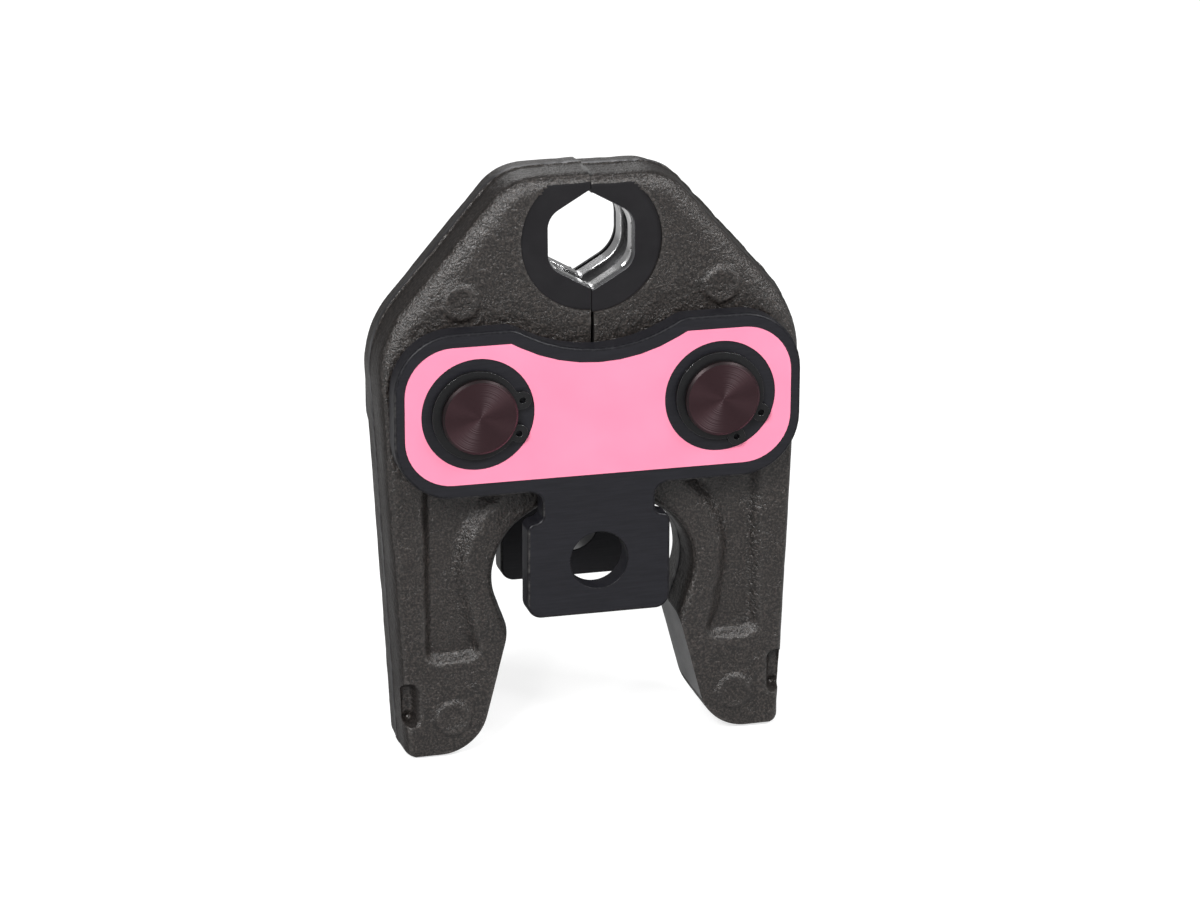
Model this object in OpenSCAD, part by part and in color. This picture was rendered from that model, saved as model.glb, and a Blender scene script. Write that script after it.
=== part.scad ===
/* [Link plates] */
// Distance between the two pivot pin axes
pin_span = 58.5; // [56:0.5:64]
// Height of the pivot pin axes above the tool bolt axis
pin_rise = 38.5; // [37:0.5:44]
// Thickness of each link plate
plate_t = 6; // [4:0.5:8]
// Clear gap between the two link plates
plate_gap = 21; // [19:0.5:26]
// Width of the plate outside a pin, at the ends
rim_end = 10.85; // [9:0.05:12]
// Width of the plate above a pin
rim_above = 10.75; // [9.5:0.05:12]
// Width of the plate below a pin
rim_below = 11.45; // [10:0.05:12.5]
// Radius of the four big corners of the bar
plate_corner_r = 14.5; // [10:0.5:16]
// Depth of the hollow in the plate's upper edge
dip_depth = 6; // [4:0.25:7]
// Radius of the hollow in the plate's upper edge
dip_r = 36.6; // [30:0.2:40]
// Steepest slope of the hollow, in degrees
dip_angle = 28.6; // [25:0.1:31]
// Width of the tab that the tool bolt passes through
tab_w = 34.8; // [31:0.2:37]
// Depth of the tab below the tool bolt axis
tab_drop = 13.5; // [11:0.25:15]
// Corner radius at the foot of the tab
tab_corner_r = 3.5; // [1:0.5:5]
// Depth of the relief cut where the tab leaves the bar
notch_depth = 3.7; // [3:0.1:4.4]
// Height of the relief cut where the tab leaves the bar
notch_h = 7.2; // [6:0.2:8]
// Radius inside the relief cut
notch_r = 3.2; // [2:0.1:3.6]
// Radius at the foot of the relief cut
notch_foot_r = 1.9; // [1:0.1:2.2]
// Drop of the sloping shoulder under the relief cut
notch_slope = 1; // [0.5:0.1:2]
// Radius where the tab's side meets that shoulder
notch_edge_r = 1.8; // [1:0.1:2]
// Radius where the plate's upper edge turns down into the hollow
dip_edge_r = 6; // [3:0.5:8]
// Width of the chamfer round the plate's edges
plate_chamfer = 0.4; // [0.1:0.1:0.8]
// Diameter of the bore for the tool bolt
bolt_d = 14; // [10:0.5:17]

/* [Pivot pins] */
// Diameter of the pivot pins
pin_d = 18; // [14:0.5:20]
// Radial clearance of a pin in the link plates
pin_fit = 0.02; // [0.01:0.01:0.05]
// Radial clearance of a lever on its pin
lever_fit = 0.05; // [0.02:0.01:0.1]
// Length of pin that stands outside each ring groove
pin_head = 1.7; // [1:0.1:3]
// Chamfer on the ends of the pins
pin_chamfer = 0.5; // [0.2:0.1:0.9]

/* [Retaining rings] */
// Thickness of a retaining ring
ring_t = 1.2; // [0.8:0.1:1.6]
// Depth of the ring groove in the pin
groove_depth = 0.5; // [0.4:0.05:0.8]
// Play of the ring in its groove
ring_play = 0.05; // [0.02:0.01:0.1]
// Width of the ring's section opposite its gap
ring_w = 2.6; // [2:0.1:3]
// Shift of the ring's outer circle away from the gap
ring_offset = 0.45; // [0.2:0.05:0.6]
// Radius of the ring's ears
ear_r = 2.1; // [1.8:0.1:2.4]
// Radius of the plier holes in the ears
ear_hole_r = 0.8; // [0.6:0.1:1]
// Distance of the plier holes outside the pin's surface
ear_out = 1.8; // [1.6:0.1:2.2]
// Angle between the middle of the gap and each plier hole
ear_angle = 22; // [20:0.5:26]
// Half of the gap between the ears
ear_gap = 1.9; // [1.4:0.1:2.2]
// Turn of the front left ring's gap from the +X side
front_left_turn = -6; // [-180:1:180]
// Turn of the front right ring's gap from the +X side
front_right_turn = -47; // [-180:1:180]
// Turn of the back left ring's gap from the +X side
back_left_turn = 160; // [-180:1:180]
// Turn of the back right ring's gap from the +X side
back_right_turn = 70; // [-180:1:180]

/* [Levers] */
// Gap between a lever's machined faces and each link plate
side_clear = 0.1; // [0.05:0.05:0.25]
// Depth of the rough forged face below the machined face
face_step = 0.3; // [0.2:0.05:0.6]
// Distance of the hub's machined face inside the plate's edge
hub_face_in = 4; // [3:0.5:6]
// Gap between the two levers at the parting line
parting_gap = 0.2; // [0.1:0.05:0.4]
// Extra gap of each lever under the pressing contour
parting_relief = 0.3; // [0.1:0.05:0.8]
// Turn of both levers about their pins, seen as anticlockwise from the front, in degrees
lever_swing = 0.55; // [0:0.05:0.8]
// Height of the lever's top above the pin axes
lever_top = 54.5; // [53:0.1:60]
// Half of the flat top's width before the shoulder slopes away
shoulder_x = 19.6; // [17:0.1:21]
// Slope of the shoulder, in degrees below the horizontal
shoulder_slope = 48.9; // [46:0.1:51]
// Radius between the flat top and the shoulder
shoulder_r = 15; // [8:0.5:16]
// Radius between the shoulder and the outer side
elbow_r = 25; // [20:1:30]
// Distance from the pin axis to the outer side at pin height
lever_out = 21.85; // [20.5:0.1:24]
// Narrowing of the outer side towards the foot, in degrees
side_lean = 2.77; // [2:0.01:4]
// Depth of the foot below the pin axes
lever_foot = 87.4; // [84:0.2:92]
// Radius of the foot's outer corner
foot_outer_r = 2.5; // [2:0.5:6]
// Radius of the foot's inner corner
foot_inner_r = 12; // [6:0.5:13]
// Distance from the pin axis in to the nose of the roller track
nose_in = 8.05; // [7.5:0.1:9.5]
// Depth of the nose below the pin axes
nose_drop = 55.6; // [54:0.1:58]
// Outward lean of the roller track below the nose, in degrees
track_lean = 13.9; // [12:0.1:16]
// Radius on the nose
nose_r = 2; // [1:0.25:3]
// Radius of the hollow above the nose that clears the rollers
hollow_r = 18; // [15:0.2:19]
// Distance from the pin axis in to the corner line of the hollow
hollow_in = 0.3; // [0:0.1:1.5]
// Depth of the corner line of the hollow below the pin axes
hollow_drop = 35.6; // [34:0.1:37]
// Distance from the pin axis in to the lower tip of the hub
tip_in = 21.9; // [20:0.1:22.5]
// Depth of the lower tip of the hub below the pin axes
tip_drop = 20.4; // [19.4:0.1:21.4]
// Radius of the lower tip of the hub
tip_r = 2.2; // [1:0.1:3]
// Height above the pin axes at which the hub starts to lean back
lean_z = 3; // [1:0.5:5]
// Radius where the hub starts to lean back
lean_r = 6; // [4:0.5:8]

/* [Forging] */
// Height by which the trimmed flash stands proud
flash_h = 0.3; // [0.1:0.05:0.5]
// Width of the trimmed flash
flash_w = 1.8; // [1:0.1:3]
// Draft of the forged sides, in degrees
draft = 5; // [3:0.5:7]
// Radius between the forged sides and the faces
edge_r = 4; // [2.5:0.25:4.5]
// Share of the edge radius and draft left in the roller hollow
hollow_share = 0.1; // [0.05:0.01:0.3]
// Share of the edge radius and draft left along the outer side
side_share = 0.4; // [0.3:0.05:1]
// Share of the edge radius and draft gained along the shoulder
shoulder_share = 1.35; // [1:0.05:1.5]
// Share of the edge radius and draft left under the foot
foot_share = 0.12; // [0.05:0.01:0.2]
// Radius of the raised ejector marks
ejector_r = 4.6; // [4:0.1:6]
// Height of the upper ejector mark above the pin axes
ejector_up = 25.2; // [24.5:0.1:27]
// Distance of the upper ejector mark outside the pin axis
ejector_up_out = 2.2; // [0:0.1:4]
// Depth of the lower ejector mark below the pin axes
ejector_down = 77.8; // [74:0.1:79]
// Distance of the lower ejector mark outside the pin axis
ejector_down_out = 5.7; // [5:0.1:7]

/* [Recess panels] */
// Depth of the recess panels in the arms
panel_depth = 2.2; // [1:0.1:3.5]
// Width of the rim between the roller hollow and the panel
panel_rim = 4.5; // [4:0.1:6]
// Width of the rim between the outer side and the panel at the panel's foot
panel_side = 6.55; // [5:0.05:8]
// Depth of the panel's foot below the pin axes
panel_foot = 64; // [60:0.2:67]
// Extra rim beside the roller track at the panel's foot
panel_foot_rim = -0.4; // [-1:0.1:1]
// Height of the panel's inner foot corner above the outer one
panel_foot_rise = 0.6; // [0:0.1:2]
// Width of the sloping wall round the panel
panel_wall = 1.8; // [1:0.1:2.4]
// Corner radius of the panel
panel_r = 3.4; // [2.5:0.1:4.5]
// Depth of the panel's hidden upper end below the pin axes
panel_head = 17; // [16:0.2:18]

/* [Grip pockets] */
// Height of the pocket in the outer edge of each foot
pocket_h = 10.8; // [8:0.2:12]
// Depth of the pocket's upper end below the pin axes
pocket_drop = 68.3; // [66:0.2:70]
// Width of the pocket, measured in from the outer side
pocket_w = 4.5; // [3:0.1:4.8]
// Depth of the pocket into the face
pocket_depth = 4.4; // [2:0.1:5]
// Corner radius of the pocket
pocket_r = 1.4; // [0.5:0.1:2]
// Radius of the dimple at the pocket's lower end
dimple_r = 1.5; // [1:0.1:1.8]
// Depth of the dimple below the pocket's floor
dimple_depth = 2; // [1:0.1:3]

/* [Pressing contour] */
// Height of the contour's centre above the pin axes
mouth_rise = 38; // [37:0.1:40]
// Distance across the flats of the six-sided contour
mouth_af = 20.4; // [16:0.1:21]
// Radius in the side corners of the polished lands and the back lip
land_corner_r = 7.5; // [5:0.5:8]
// Radius in the side corners of the front lip
lip_corner_r = 5; // [3:0.5:6]
// Radius in the two corners at the parting line
mouth_tip_r = 1.5; // [1:0.25:3]
// Extra size of the contour at the two outer lips
lip_relief = 0.3; // [0.1:0.05:0.5]
// Width of the front lip
front_lip = 2.2; // [1.5:0.1:3]
// Width of the front polished land
front_land = 3.3; // [2.5:0.1:3.6]
// Width of the bead groove
bead_w = 6.2; // [5:0.1:6.6]
// Radius of the bead groove
bead_r = 12.5; // [12.2:0.05:13.2]
// Width of the back polished land
back_land = 4.4; // [3:0.1:4.6]
// Width of the narrow groove behind the back land
back_groove_w = 2; // [1:0.1:2.2]
// Radius of the narrow groove
back_groove_r = 12.1; // [11.9:0.05:12.8]
// Radius of the machined facing round the contour
facing_r = 16.9; // [16:0.1:17.4]
// Depth of that facing below the forged face
facing_cut = 0.5; // [0.2:0.05:0.7]

/* [Closing spring] */
// Depth of the spring's axis below the pin axes
spring_drop = 12; // [11:0.25:13]
// Outer diameter of the spring
spring_d = 8; // [6:0.25:9]
// Diameter of the spring's wire
wire_d = 1.2; // [0.8:0.1:1.4]
// Number of turns, with the closed end turns
spring_turns = 8; // [6:1:10]
// Distance of each spring seat from the parting line
seat_x = 14; // [11:0.5:15]
// Radial play of the spring in its seats
seat_play = 0.5; // [0.35:0.05:0.8]
// Pitch of the closed end turns in wire diameters
closed_pitch = 1.02; // [1.01:0.01:1.1]
// Gap between the spring's ends and its seats
seat_gap = 0.15; // [0.05:0.05:0.3]

/* [Label] */
// Thickness of the label
label_t = 0.2; // [0.1:0.05:0.4]
// Width of plate left bare at the label's ends
label_end = 2.5; // [2:0.1:4]
// Width of plate left bare above the label
label_above = 3.3; // [2.5:0.1:4.5]
// Width of plate left bare below the label
label_below = 3.5; // [2.5:0.1:4.5]
// Radius of the label's corners
label_corner_r = 11.5; // [7:0.5:13]
// Width of plate left bare round the pins
label_pin_clear = 4.5; // [4:0.05:4.8]

/* [Hidden] */
// Overrun of a cut past the face that it opens
over = 1;
// Largest turn between two points of a rounded corner, in degrees
arc_step = 7.5;
// Turn between two points of a forging's edge radius, in degrees
edge_step = 15;
bore_fn = 96;
ring_fn = 32;
// Smallest radius of a rounded corner
least_r = 0.05;
pin_x = pin_span / 2;
pin_r = pin_d / 2;
plate_end = pin_r + rim_end;
plate_above = pin_r + rim_above;
plate_below = pin_r + rim_below;
plate_out = plate_gap / 2 + plate_t;
hub_h = plate_gap / 2 - side_clear;
face_h = hub_h - face_step;
facing_h = face_h - facing_cut;
groove_w = ring_t + 2 * ring_play;
groove_r = pin_r - groove_depth;
pin_half = plate_out + groove_w + pin_head;
seat_r = spring_d / 2 + seat_play;

function unit(v) = v / norm(v);
function left_of(v) = [-v.y, v.x];
function spin(v, a) = [v.x * cos(a) - v.y * sin(a), v.x * sin(a) + v.y * cos(a)];
function xy(c) = [c.x, c.y];

// Outlines are lists of corners [x, z, radius, share], run anticlockwise.
// The share says how far the edge that follows moves when the outline shrinks.
function before(c, i) = c[(i + len(c) - 1) % len(c)];
function after(c, i) = c[(i + 1) % len(c)];

// Points of corner i after every edge has moved inwards by d times its share
function corner(c, i, d) =
    let (
        ua = unit(xy(c[i]) - xy(before(c, i))),
        ub = unit(xy(after(c, i)) - xy(c[i])),
        k = cross(ua, ub),
        da = d * before(c, i)[3],
        db = d * c[i][3],
        tip = xy(c[i]) + (da * ub - db * ua) / k,
        side = sign(k),
        bend = acos(ua * ub),
        r = max(least_r, c[i][2] - side * (da + db) / 2),
        steps = ceil(bend / arc_step),
        start = tip - ua * r * tan(bend / 2),
        centre = start + side * r * left_of(ua)
    )
    c[i][2] == 0
        ? [tip]
        : [for (j = [0 : steps]) centre + spin(start - centre, side * bend * j / steps)];

function outline(c, d = 0) = [for (i = [0 : len(c) - 1]) each corner(c, i, d)];

// Triangles that fill an outline, found by cutting off one ear at a time
function fill(q, rest) =
    len(rest) == 3
        ? [rest]
        : let (n = len(rest), e = ear(q, rest, 0))
        concat(
            [[rest[(e + n - 1) % n], rest[e], rest[(e + 1) % n]]],
            fill(q, [for (k = [0 : n - 1]) if (k != e) rest[k]])
        );
function ear(q, rest, e) =
    let (n = len(rest), a = rest[(e + n - 1) % n], b = rest[e], c = rest[(e + 1) % n])
    e == n - 1 || is_ear(q, rest, a, b, c) ? e : ear(q, rest, e + 1);
function is_ear(q, rest, a, b, c) =
    cross(q[b] - q[a], q[c] - q[b]) > 0
    && len([
        for (k = rest)
        if (k != a && k != b && k != c
            && cross(q[b] - q[a], q[k] - q[a]) >= 0
            && cross(q[c] - q[b], q[k] - q[b]) >= 0
            && cross(q[a] - q[c], q[k] - q[c]) >= 0) k
    ]) == 0;

// Solid lofted through shrunken copies of one outline, one for each [y, inset]
module loft(c, profile) {
    ring_n = len(outline(c));
    last = len(profile) - 1;
    first_cap = fill(outline(c, profile[0][1]), [for (i = [0 : ring_n - 1]) i]);
    last_cap = fill(outline(c, profile[last][1]), [for (i = [0 : ring_n - 1]) i]);
    points = [for (p = profile) for (q = outline(c, p[1])) [q.x, p[0], q.y]];
    sides = [
        for (k = [0 : last - 1])
        for (i = [0 : ring_n - 1])
        let (a = k * ring_n + i, b = k * ring_n + (i + 1) % ring_n)
        each [[a, b, b + ring_n], [a, b + ring_n, a + ring_n]]
    ];
    polyhedron(
        points = points,
        faces = concat(
            sides,
            [for (t = first_cap) [t[2], t[1], t[0]]],
            [for (t = last_cap) [for (i = t) last * ring_n + i]]
        ),
        convexity = 6
    );
}

// Straight prism of an outline between two depths
module prism(c, y0, y1, d = 0) {
    translate([0, y1, 0])
        rotate([90, 0, 0])
            linear_extrude(y1 - y0)
                polygon(outline(c, d));
}

// Round bar along Y between two depths
module bar_y(r, y0, y1) {
    translate([0, y1, 0])
        rotate([90, 0, 0])
            cylinder(r = r, h = y1 - y0, $fn = bore_fn);
}

module at_pin(side) {
    translate([side * pin_x, 0, pin_rise]) children();
}

// Outline of a link plate, about the middle of the pin line
function dip_corner_z() = plate_above - dip_depth - dip_r * (1 / cos(dip_angle) - 1);
function dip_edge_x() = (plate_above - dip_corner_z()) / tan(dip_angle);
function plate_half(s) = [
    [s * tab_w / 2, -pin_rise - tab_drop, tab_corner_r, 1],
    [s * tab_w / 2, -plate_below - notch_h - notch_slope, notch_edge_r, 1],
    [s * (tab_w / 2 - notch_depth), -plate_below - notch_h, notch_foot_r, 1],
    [s * (tab_w / 2 - notch_depth), -plate_below, notch_r, 1],
    [s * (pin_x + plate_end), -plate_below, plate_corner_r, 1],
    [s * (pin_x + plate_end), plate_above, plate_corner_r, 1],
    [s * dip_edge_x(), plate_above, dip_edge_r, 1]
];
function reversed(v) = [for (i = [len(v) - 1 : -1 : 0]) v[i]];
plate_outline = concat(plate_half(1), [[0, dip_corner_z(), dip_r, 1]], reversed(plate_half(-1)));

module link_plate(inner_y, outer_y) {
    color([0.17, 0.18, 0.21])
    difference() {
        translate([0, 0, pin_rise])
            loft(plate_outline, [
                [inner_y, plate_chamfer],
                [inner_y + plate_chamfer, 0],
                [outer_y - plate_chamfer, 0],
                [outer_y, plate_chamfer]
            ]);
        for (s = [-1, 1])
            at_pin(s) bar_y(pin_r + pin_fit, inner_y - over, outer_y + over);
        bar_y(bolt_d / 2, inner_y - over, outer_y + over);
    }
}

module front_plate() link_plate(-plate_out, -plate_gap / 2);
module back_plate() link_plate(plate_gap / 2, plate_out);

// Turned pin with a ring groove near each end
module pivot_pin(side) {
    color([0.25, 0.16, 0.17])
    at_pin(side)
        rotate([-90, 0, 0])
            rotate_extrude($fn = bore_fn)
                polygon([
                    [0, -pin_half],
                    [pin_r - pin_chamfer, -pin_half],
                    [pin_r, -pin_half + pin_chamfer],
                    [pin_r, -plate_out - groove_w],
                    [groove_r, -plate_out - groove_w],
                    [groove_r, -plate_out],
                    [pin_r, -plate_out],
                    [pin_r, plate_out],
                    [groove_r, plate_out],
                    [groove_r, plate_out + groove_w],
                    [pin_r, plate_out + groove_w],
                    [pin_r, pin_half - pin_chamfer],
                    [pin_r - pin_chamfer, pin_half],
                    [0, pin_half]
                ]);
}

module left_pin() pivot_pin(-1);
module right_pin() pivot_pin(1);

// Spring steel ring with two eared ends; its gap faces +X before it is turned
module ring_flat() {
    ear_at = pin_r + ear_out;
    difference() {
        union() {
            translate([-ring_offset, 0])
                circle(r = groove_r + ring_w - ring_offset, $fn = bore_fn);
            for (s = [-1, 1])
                rotate(s * ear_angle) {
                    translate([ear_at, 0]) circle(r = ear_r, $fn = ring_fn);
                    translate([groove_r, -ear_r]) square([ear_out, 2 * ear_r]);
                }
        }
        circle(r = groove_r + ring_play, $fn = bore_fn);
        translate([0, -ear_gap]) square([pin_r + 2 * ear_at, 2 * ear_gap]);
        for (s = [-1, 1])
            rotate(s * ear_angle) translate([ear_at, 0]) circle(r = ear_hole_r, $fn = ring_fn);
    }
}

module retaining_ring(side, face, turn_deg) {
    y_in = plate_out + ring_play;
    color([0.11, 0.11, 0.12])
    at_pin(side)
        translate([0, face > 0 ? y_in + ring_t : -y_in, 0])
            rotate([90, 0, 0])
                linear_extrude(ring_t)
                    rotate(turn_deg)
                        ring_flat();
}

module front_left_ring() retaining_ring(-1, -1, front_left_turn);
module front_right_ring() retaining_ring(1, -1, front_right_turn);
module back_left_ring() retaining_ring(-1, 1, back_left_turn);
module back_right_ring() retaining_ring(1, 1, back_right_turn);

// Corners of the right lever's forging, about the middle of the pin line
foot_z = -lever_foot;
side_foot_x = pin_x + lever_out - lever_foot * tan(side_lean);
nose_pt = [pin_x - nose_in, -nose_drop];
hollow_pt = [pin_x - hollow_in, -hollow_drop];
tip_pt = [pin_x - tip_in, -tip_drop];
track_foot_x = nose_pt.x + (lever_foot - nose_drop) * tan(track_lean);
step_x = parting_gap / 2 + parting_relief;
contact_z = mouth_rise - facing_r;
hub_face_r = min(plate_end, plate_above) - hub_face_in;
// Height at which the line of the outer side meets the line of the shoulder
elbow_z =
    (lever_top - (pin_x + lever_out - shoulder_x) * tan(shoulder_slope))
    / (1 + tan(side_lean) * tan(shoulder_slope));
elbow_x = pin_x + lever_out + elbow_z * tan(side_lean);
lever_outline = [
    [tip_pt.x, tip_pt.y, tip_r, hollow_share],
    [hollow_pt.x, hollow_pt.y, hollow_r, hollow_share],
    [nose_pt.x, nose_pt.y, nose_r, 0],
    [track_foot_x, foot_z, foot_inner_r, foot_share],
    [side_foot_x, foot_z, foot_outer_r, side_share],
    [elbow_x, elbow_z, elbow_r, shoulder_share],
    [shoulder_x, lever_top, shoulder_r, 1],
    [parting_gap / 2, lever_top, 0, 0],
    [parting_gap / 2, contact_z, 0, 0],
    [step_x, contact_z - parting_relief, 0, 0],
    [step_x, lean_z, lean_r, 0]
];

// Section of the forged side: flash, draft and edge radius, as [y, inset]
function forged_side(h) =
    let (flat = h - edge_r, drawn = flash_h + (flat - flash_w / 2) * tan(draft))
    concat(
        [[flash_w / 2, 0], [flash_w / 2 + flash_h, flash_h], [flat, drawn]],
        [for (a = [edge_step : edge_step : 90]) [flat + edge_r * sin(a), drawn + edge_r * (1 - cos(a))]]
    );
function both_sides(p) = concat([for (q = reversed(p)) [-q[0], q[1]]], p);

// Corners of the recess panel, a fixed rim inside the arm's outline
panel_foot_x = nose_pt.x + (panel_foot - nose_drop) * tan(track_lean)
    + panel_rim + panel_foot_rim;
panel_out_x = pin_x + lever_out - panel_foot * tan(side_lean) - panel_side;
panel_outline = [
    [panel_foot_x, -panel_foot + panel_foot_rise, panel_r, 1],
    [panel_out_x, -panel_foot, panel_r, 1],
    [panel_out_x, -panel_head, panel_r, 1],
    [panel_top_x(), -panel_head, panel_r, 1],
    [panel_bend().x, panel_bend().y, hollow_r + panel_rim, 1]
];
// Bend of the panel's inner wall, which follows the roller hollow
function panel_bend() =
    let (ua = unit(hollow_pt - tip_pt), ub = unit(nose_pt - hollow_pt))
    hollow_pt + panel_rim * (ua - ub) / abs(cross(ua, ub));
// Where the upper run of that wall reaches the panel's hidden end
function panel_top_x() =
    let (v = unit(hollow_pt - tip_pt), b = panel_bend())
    b.x - v.x * (-panel_head - b.y) / -v.y;

module recess_panel() {
    for (s = [-1, 1])
        scale([1, s, 1])
            loft(panel_outline, [
                [face_h - panel_depth, panel_wall],
                [face_h - 0.7 * panel_depth, 0.8 * panel_wall],
                [face_h - 0.25 * panel_depth, 0.25 * panel_wall],
                [face_h + over, -over * panel_wall / panel_depth]
            ]);
}

// Pocket in the outer edge of the foot, on both faces
module grip_pocket() {
    inner_x = pin_x + lever_out - pocket_drop * tan(side_lean) - pocket_w;
    outer_x = inner_x + pocket_w + pocket_r + over;
    low_z = -pocket_drop - pocket_h;
    pocket_outline = [
        [inner_x, low_z, pocket_r, 1],
        [outer_x, low_z, pocket_r, 1],
        [outer_x, -pocket_drop, pocket_r, 1],
        [inner_x, -pocket_drop, pocket_r, 1]
    ];
    for (s = [-1, 1])
        scale([1, s, 1])
            translate([0, face_h - pocket_depth, 0]) {
                prism(pocket_outline, 0, pocket_depth + over);
                translate([inner_x + dimple_r, 0, low_z + dimple_r])
                    bar_y(dimple_r, -dimple_depth, over);
            }
}

// Six-sided contour with rounded corners, its points up and down
function contour(side_r) =
    let (reach = mouth_af / 2 / cos(30))
    [for (a = [-90 : 60 : 210]) [reach * cos(a), reach * sin(a), abs(a) == 90 ? mouth_tip_r : side_r, 1]];

// All that is turned or milled out of both levers to form the mouth
module mouth_cut() {
    y1 = -facing_h + front_lip;
    y2 = y1 + front_land;
    y3 = y2 + bead_w;
    y4 = y3 + back_land;
    y5 = y4 + back_groove_w;
    land = contour(land_corner_r);
    translate([0, 0, mouth_rise]) {
        prism(land, -facing_h - over, facing_h + over);
        prism(contour(lip_corner_r), -facing_h - over, y1, -lip_relief);
        prism(land, y5, facing_h + over, -lip_relief);
        bar_y(bead_r, y2, y3);
        bar_y(back_groove_r, y4, y5);
    }
}

// One forged lever, drawn as the right one
module lever(swing) {
    color([0.235, 0.22, 0.205])
    at_pin(1)
    rotate([0, swing, 0])
    translate([-pin_x, 0, 0])
    difference() {
        union() {
            loft(lever_outline, both_sides(forged_side(face_h)));
            translate([pin_x, 0, 0]) bar_y(hub_face_r, -hub_h, hub_h);
            for (s = [-1, 1]) {
                translate([pin_x + ejector_up_out, 0, ejector_up])
                    bar_y(ejector_r, -hub_h, hub_h);
                translate([pin_x + ejector_down_out, 0, -ejector_down])
                    bar_y(ejector_r, -hub_h, hub_h);
            }
        }
        translate([pin_x, 0, 0]) bar_y(pin_r + lever_fit, -hub_h - over, hub_h + over);
        for (s = [-1, 1])
            scale([1, s, 1])
                translate([0, 0, mouth_rise]) bar_y(facing_r, facing_h, face_h + over);
        recess_panel();
        grip_pocket();
        mouth_cut();
        translate([0, 0, -spring_drop])
            rotate([0, 90, 0])
                cylinder(r = seat_r, h = seat_x + seat_gap, $fn = bore_fn);
    }
}
module right_lever() lever(-lever_swing);
module left_lever() mirror([1, 0, 0]) lever(lever_swing);

// Compression spring with closed ends, wound along X
function coil_x(k) =
    let (closed = wire_d * closed_pitch, free = (2 * seat_x - wire_d - 2 * closed) / (spring_turns - 2))
    -seat_x + wire_d / 2
    + closed * min(k, 1)
    + free * min(max(k - 1, 0), spring_turns - 2)
    + closed * max(k - spring_turns + 1, 0);

module closing_spring() {
    around = 16;
    sides = 8;
    rings = spring_turns * around;
    coil_r = (spring_d - wire_d) / 2;
    points = [
        for (i = [0 : rings])
        for (j = [0 : sides - 1])
        let (a = 360 * i / around, b = 360 * j / sides, r = coil_r + wire_d / 2 * cos(b))
        [coil_x(i / around) + wire_d / 2 * sin(b), r * cos(a), r * sin(a)]
    ];
    walls = [
        for (i = [0 : rings - 1])
        for (j = [0 : sides - 1])
        let (a = i * sides + j, b = i * sides + (j + 1) % sides)
        each [[a, b, b + sides], [a, b + sides, a + sides]]
    ];
    color([0.6, 0.6, 0.62])
    translate([0, 0, pin_rise - spring_drop])
        polyhedron(
            points = points,
            faces = concat(
                walls,
                [[for (j = [sides - 1 : -1 : 0]) j]],
                [[for (j = [0 : sides - 1]) rings * sides + j]]
            ),
            convexity = 20
        );
}

// Printed label with openings round both pins
label_hole_r = pin_r + label_pin_clear;
label_top = plate_above - label_above;
label_dip_z = dip_corner_z() - label_above / cos(dip_angle);
label_outline = [
    [0, label_dip_z, dip_r + label_above, 1],
    [-(label_top - label_dip_z) / tan(dip_angle), label_top, 0, 1],
    [-(pin_x + plate_end - label_end), label_top, label_corner_r, 1],
    [-(pin_x + plate_end - label_end), -plate_below + label_below, label_corner_r, 1],
    [pin_x + plate_end - label_end, -plate_below + label_below, label_corner_r, 1],
    [pin_x + plate_end - label_end, label_top, label_corner_r, 1],
    [(label_top - label_dip_z) / tan(dip_angle), label_top, 0, 1]
];
module label() {
    color([1, 0.63, 0.75])
    difference() {
        translate([0, 0, pin_rise]) prism(label_outline, -plate_out - label_t, -plate_out);
        for (s = [-1, 1])
            at_pin(s) bar_y(label_hole_r, -plate_out - label_t - over, -plate_out + over);
    }
}

left_lever();
right_lever();
front_plate();
back_plate();
left_pin();
right_pin();
front_left_ring();
front_right_ring();
back_left_ring();
back_right_ring();
closing_spring();
label();
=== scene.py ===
"""Looks of a press fitting tool jaw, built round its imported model.

Every length in a dataclass is in millimetres, in the part's own frame: the tool bolt's axis is the
origin, +Z runs up to the pressing mouth and the labelled face looks towards -Y. Meshes are turned
into metres only when an object is made from them.
"""

import logging
import math
from dataclasses import dataclass, field
from enum import Enum

import bmesh
import bpy
import numpy as np
from mathutils import Matrix, Vector
from mathutils.geometry import delaunay_2d_cdt

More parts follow.
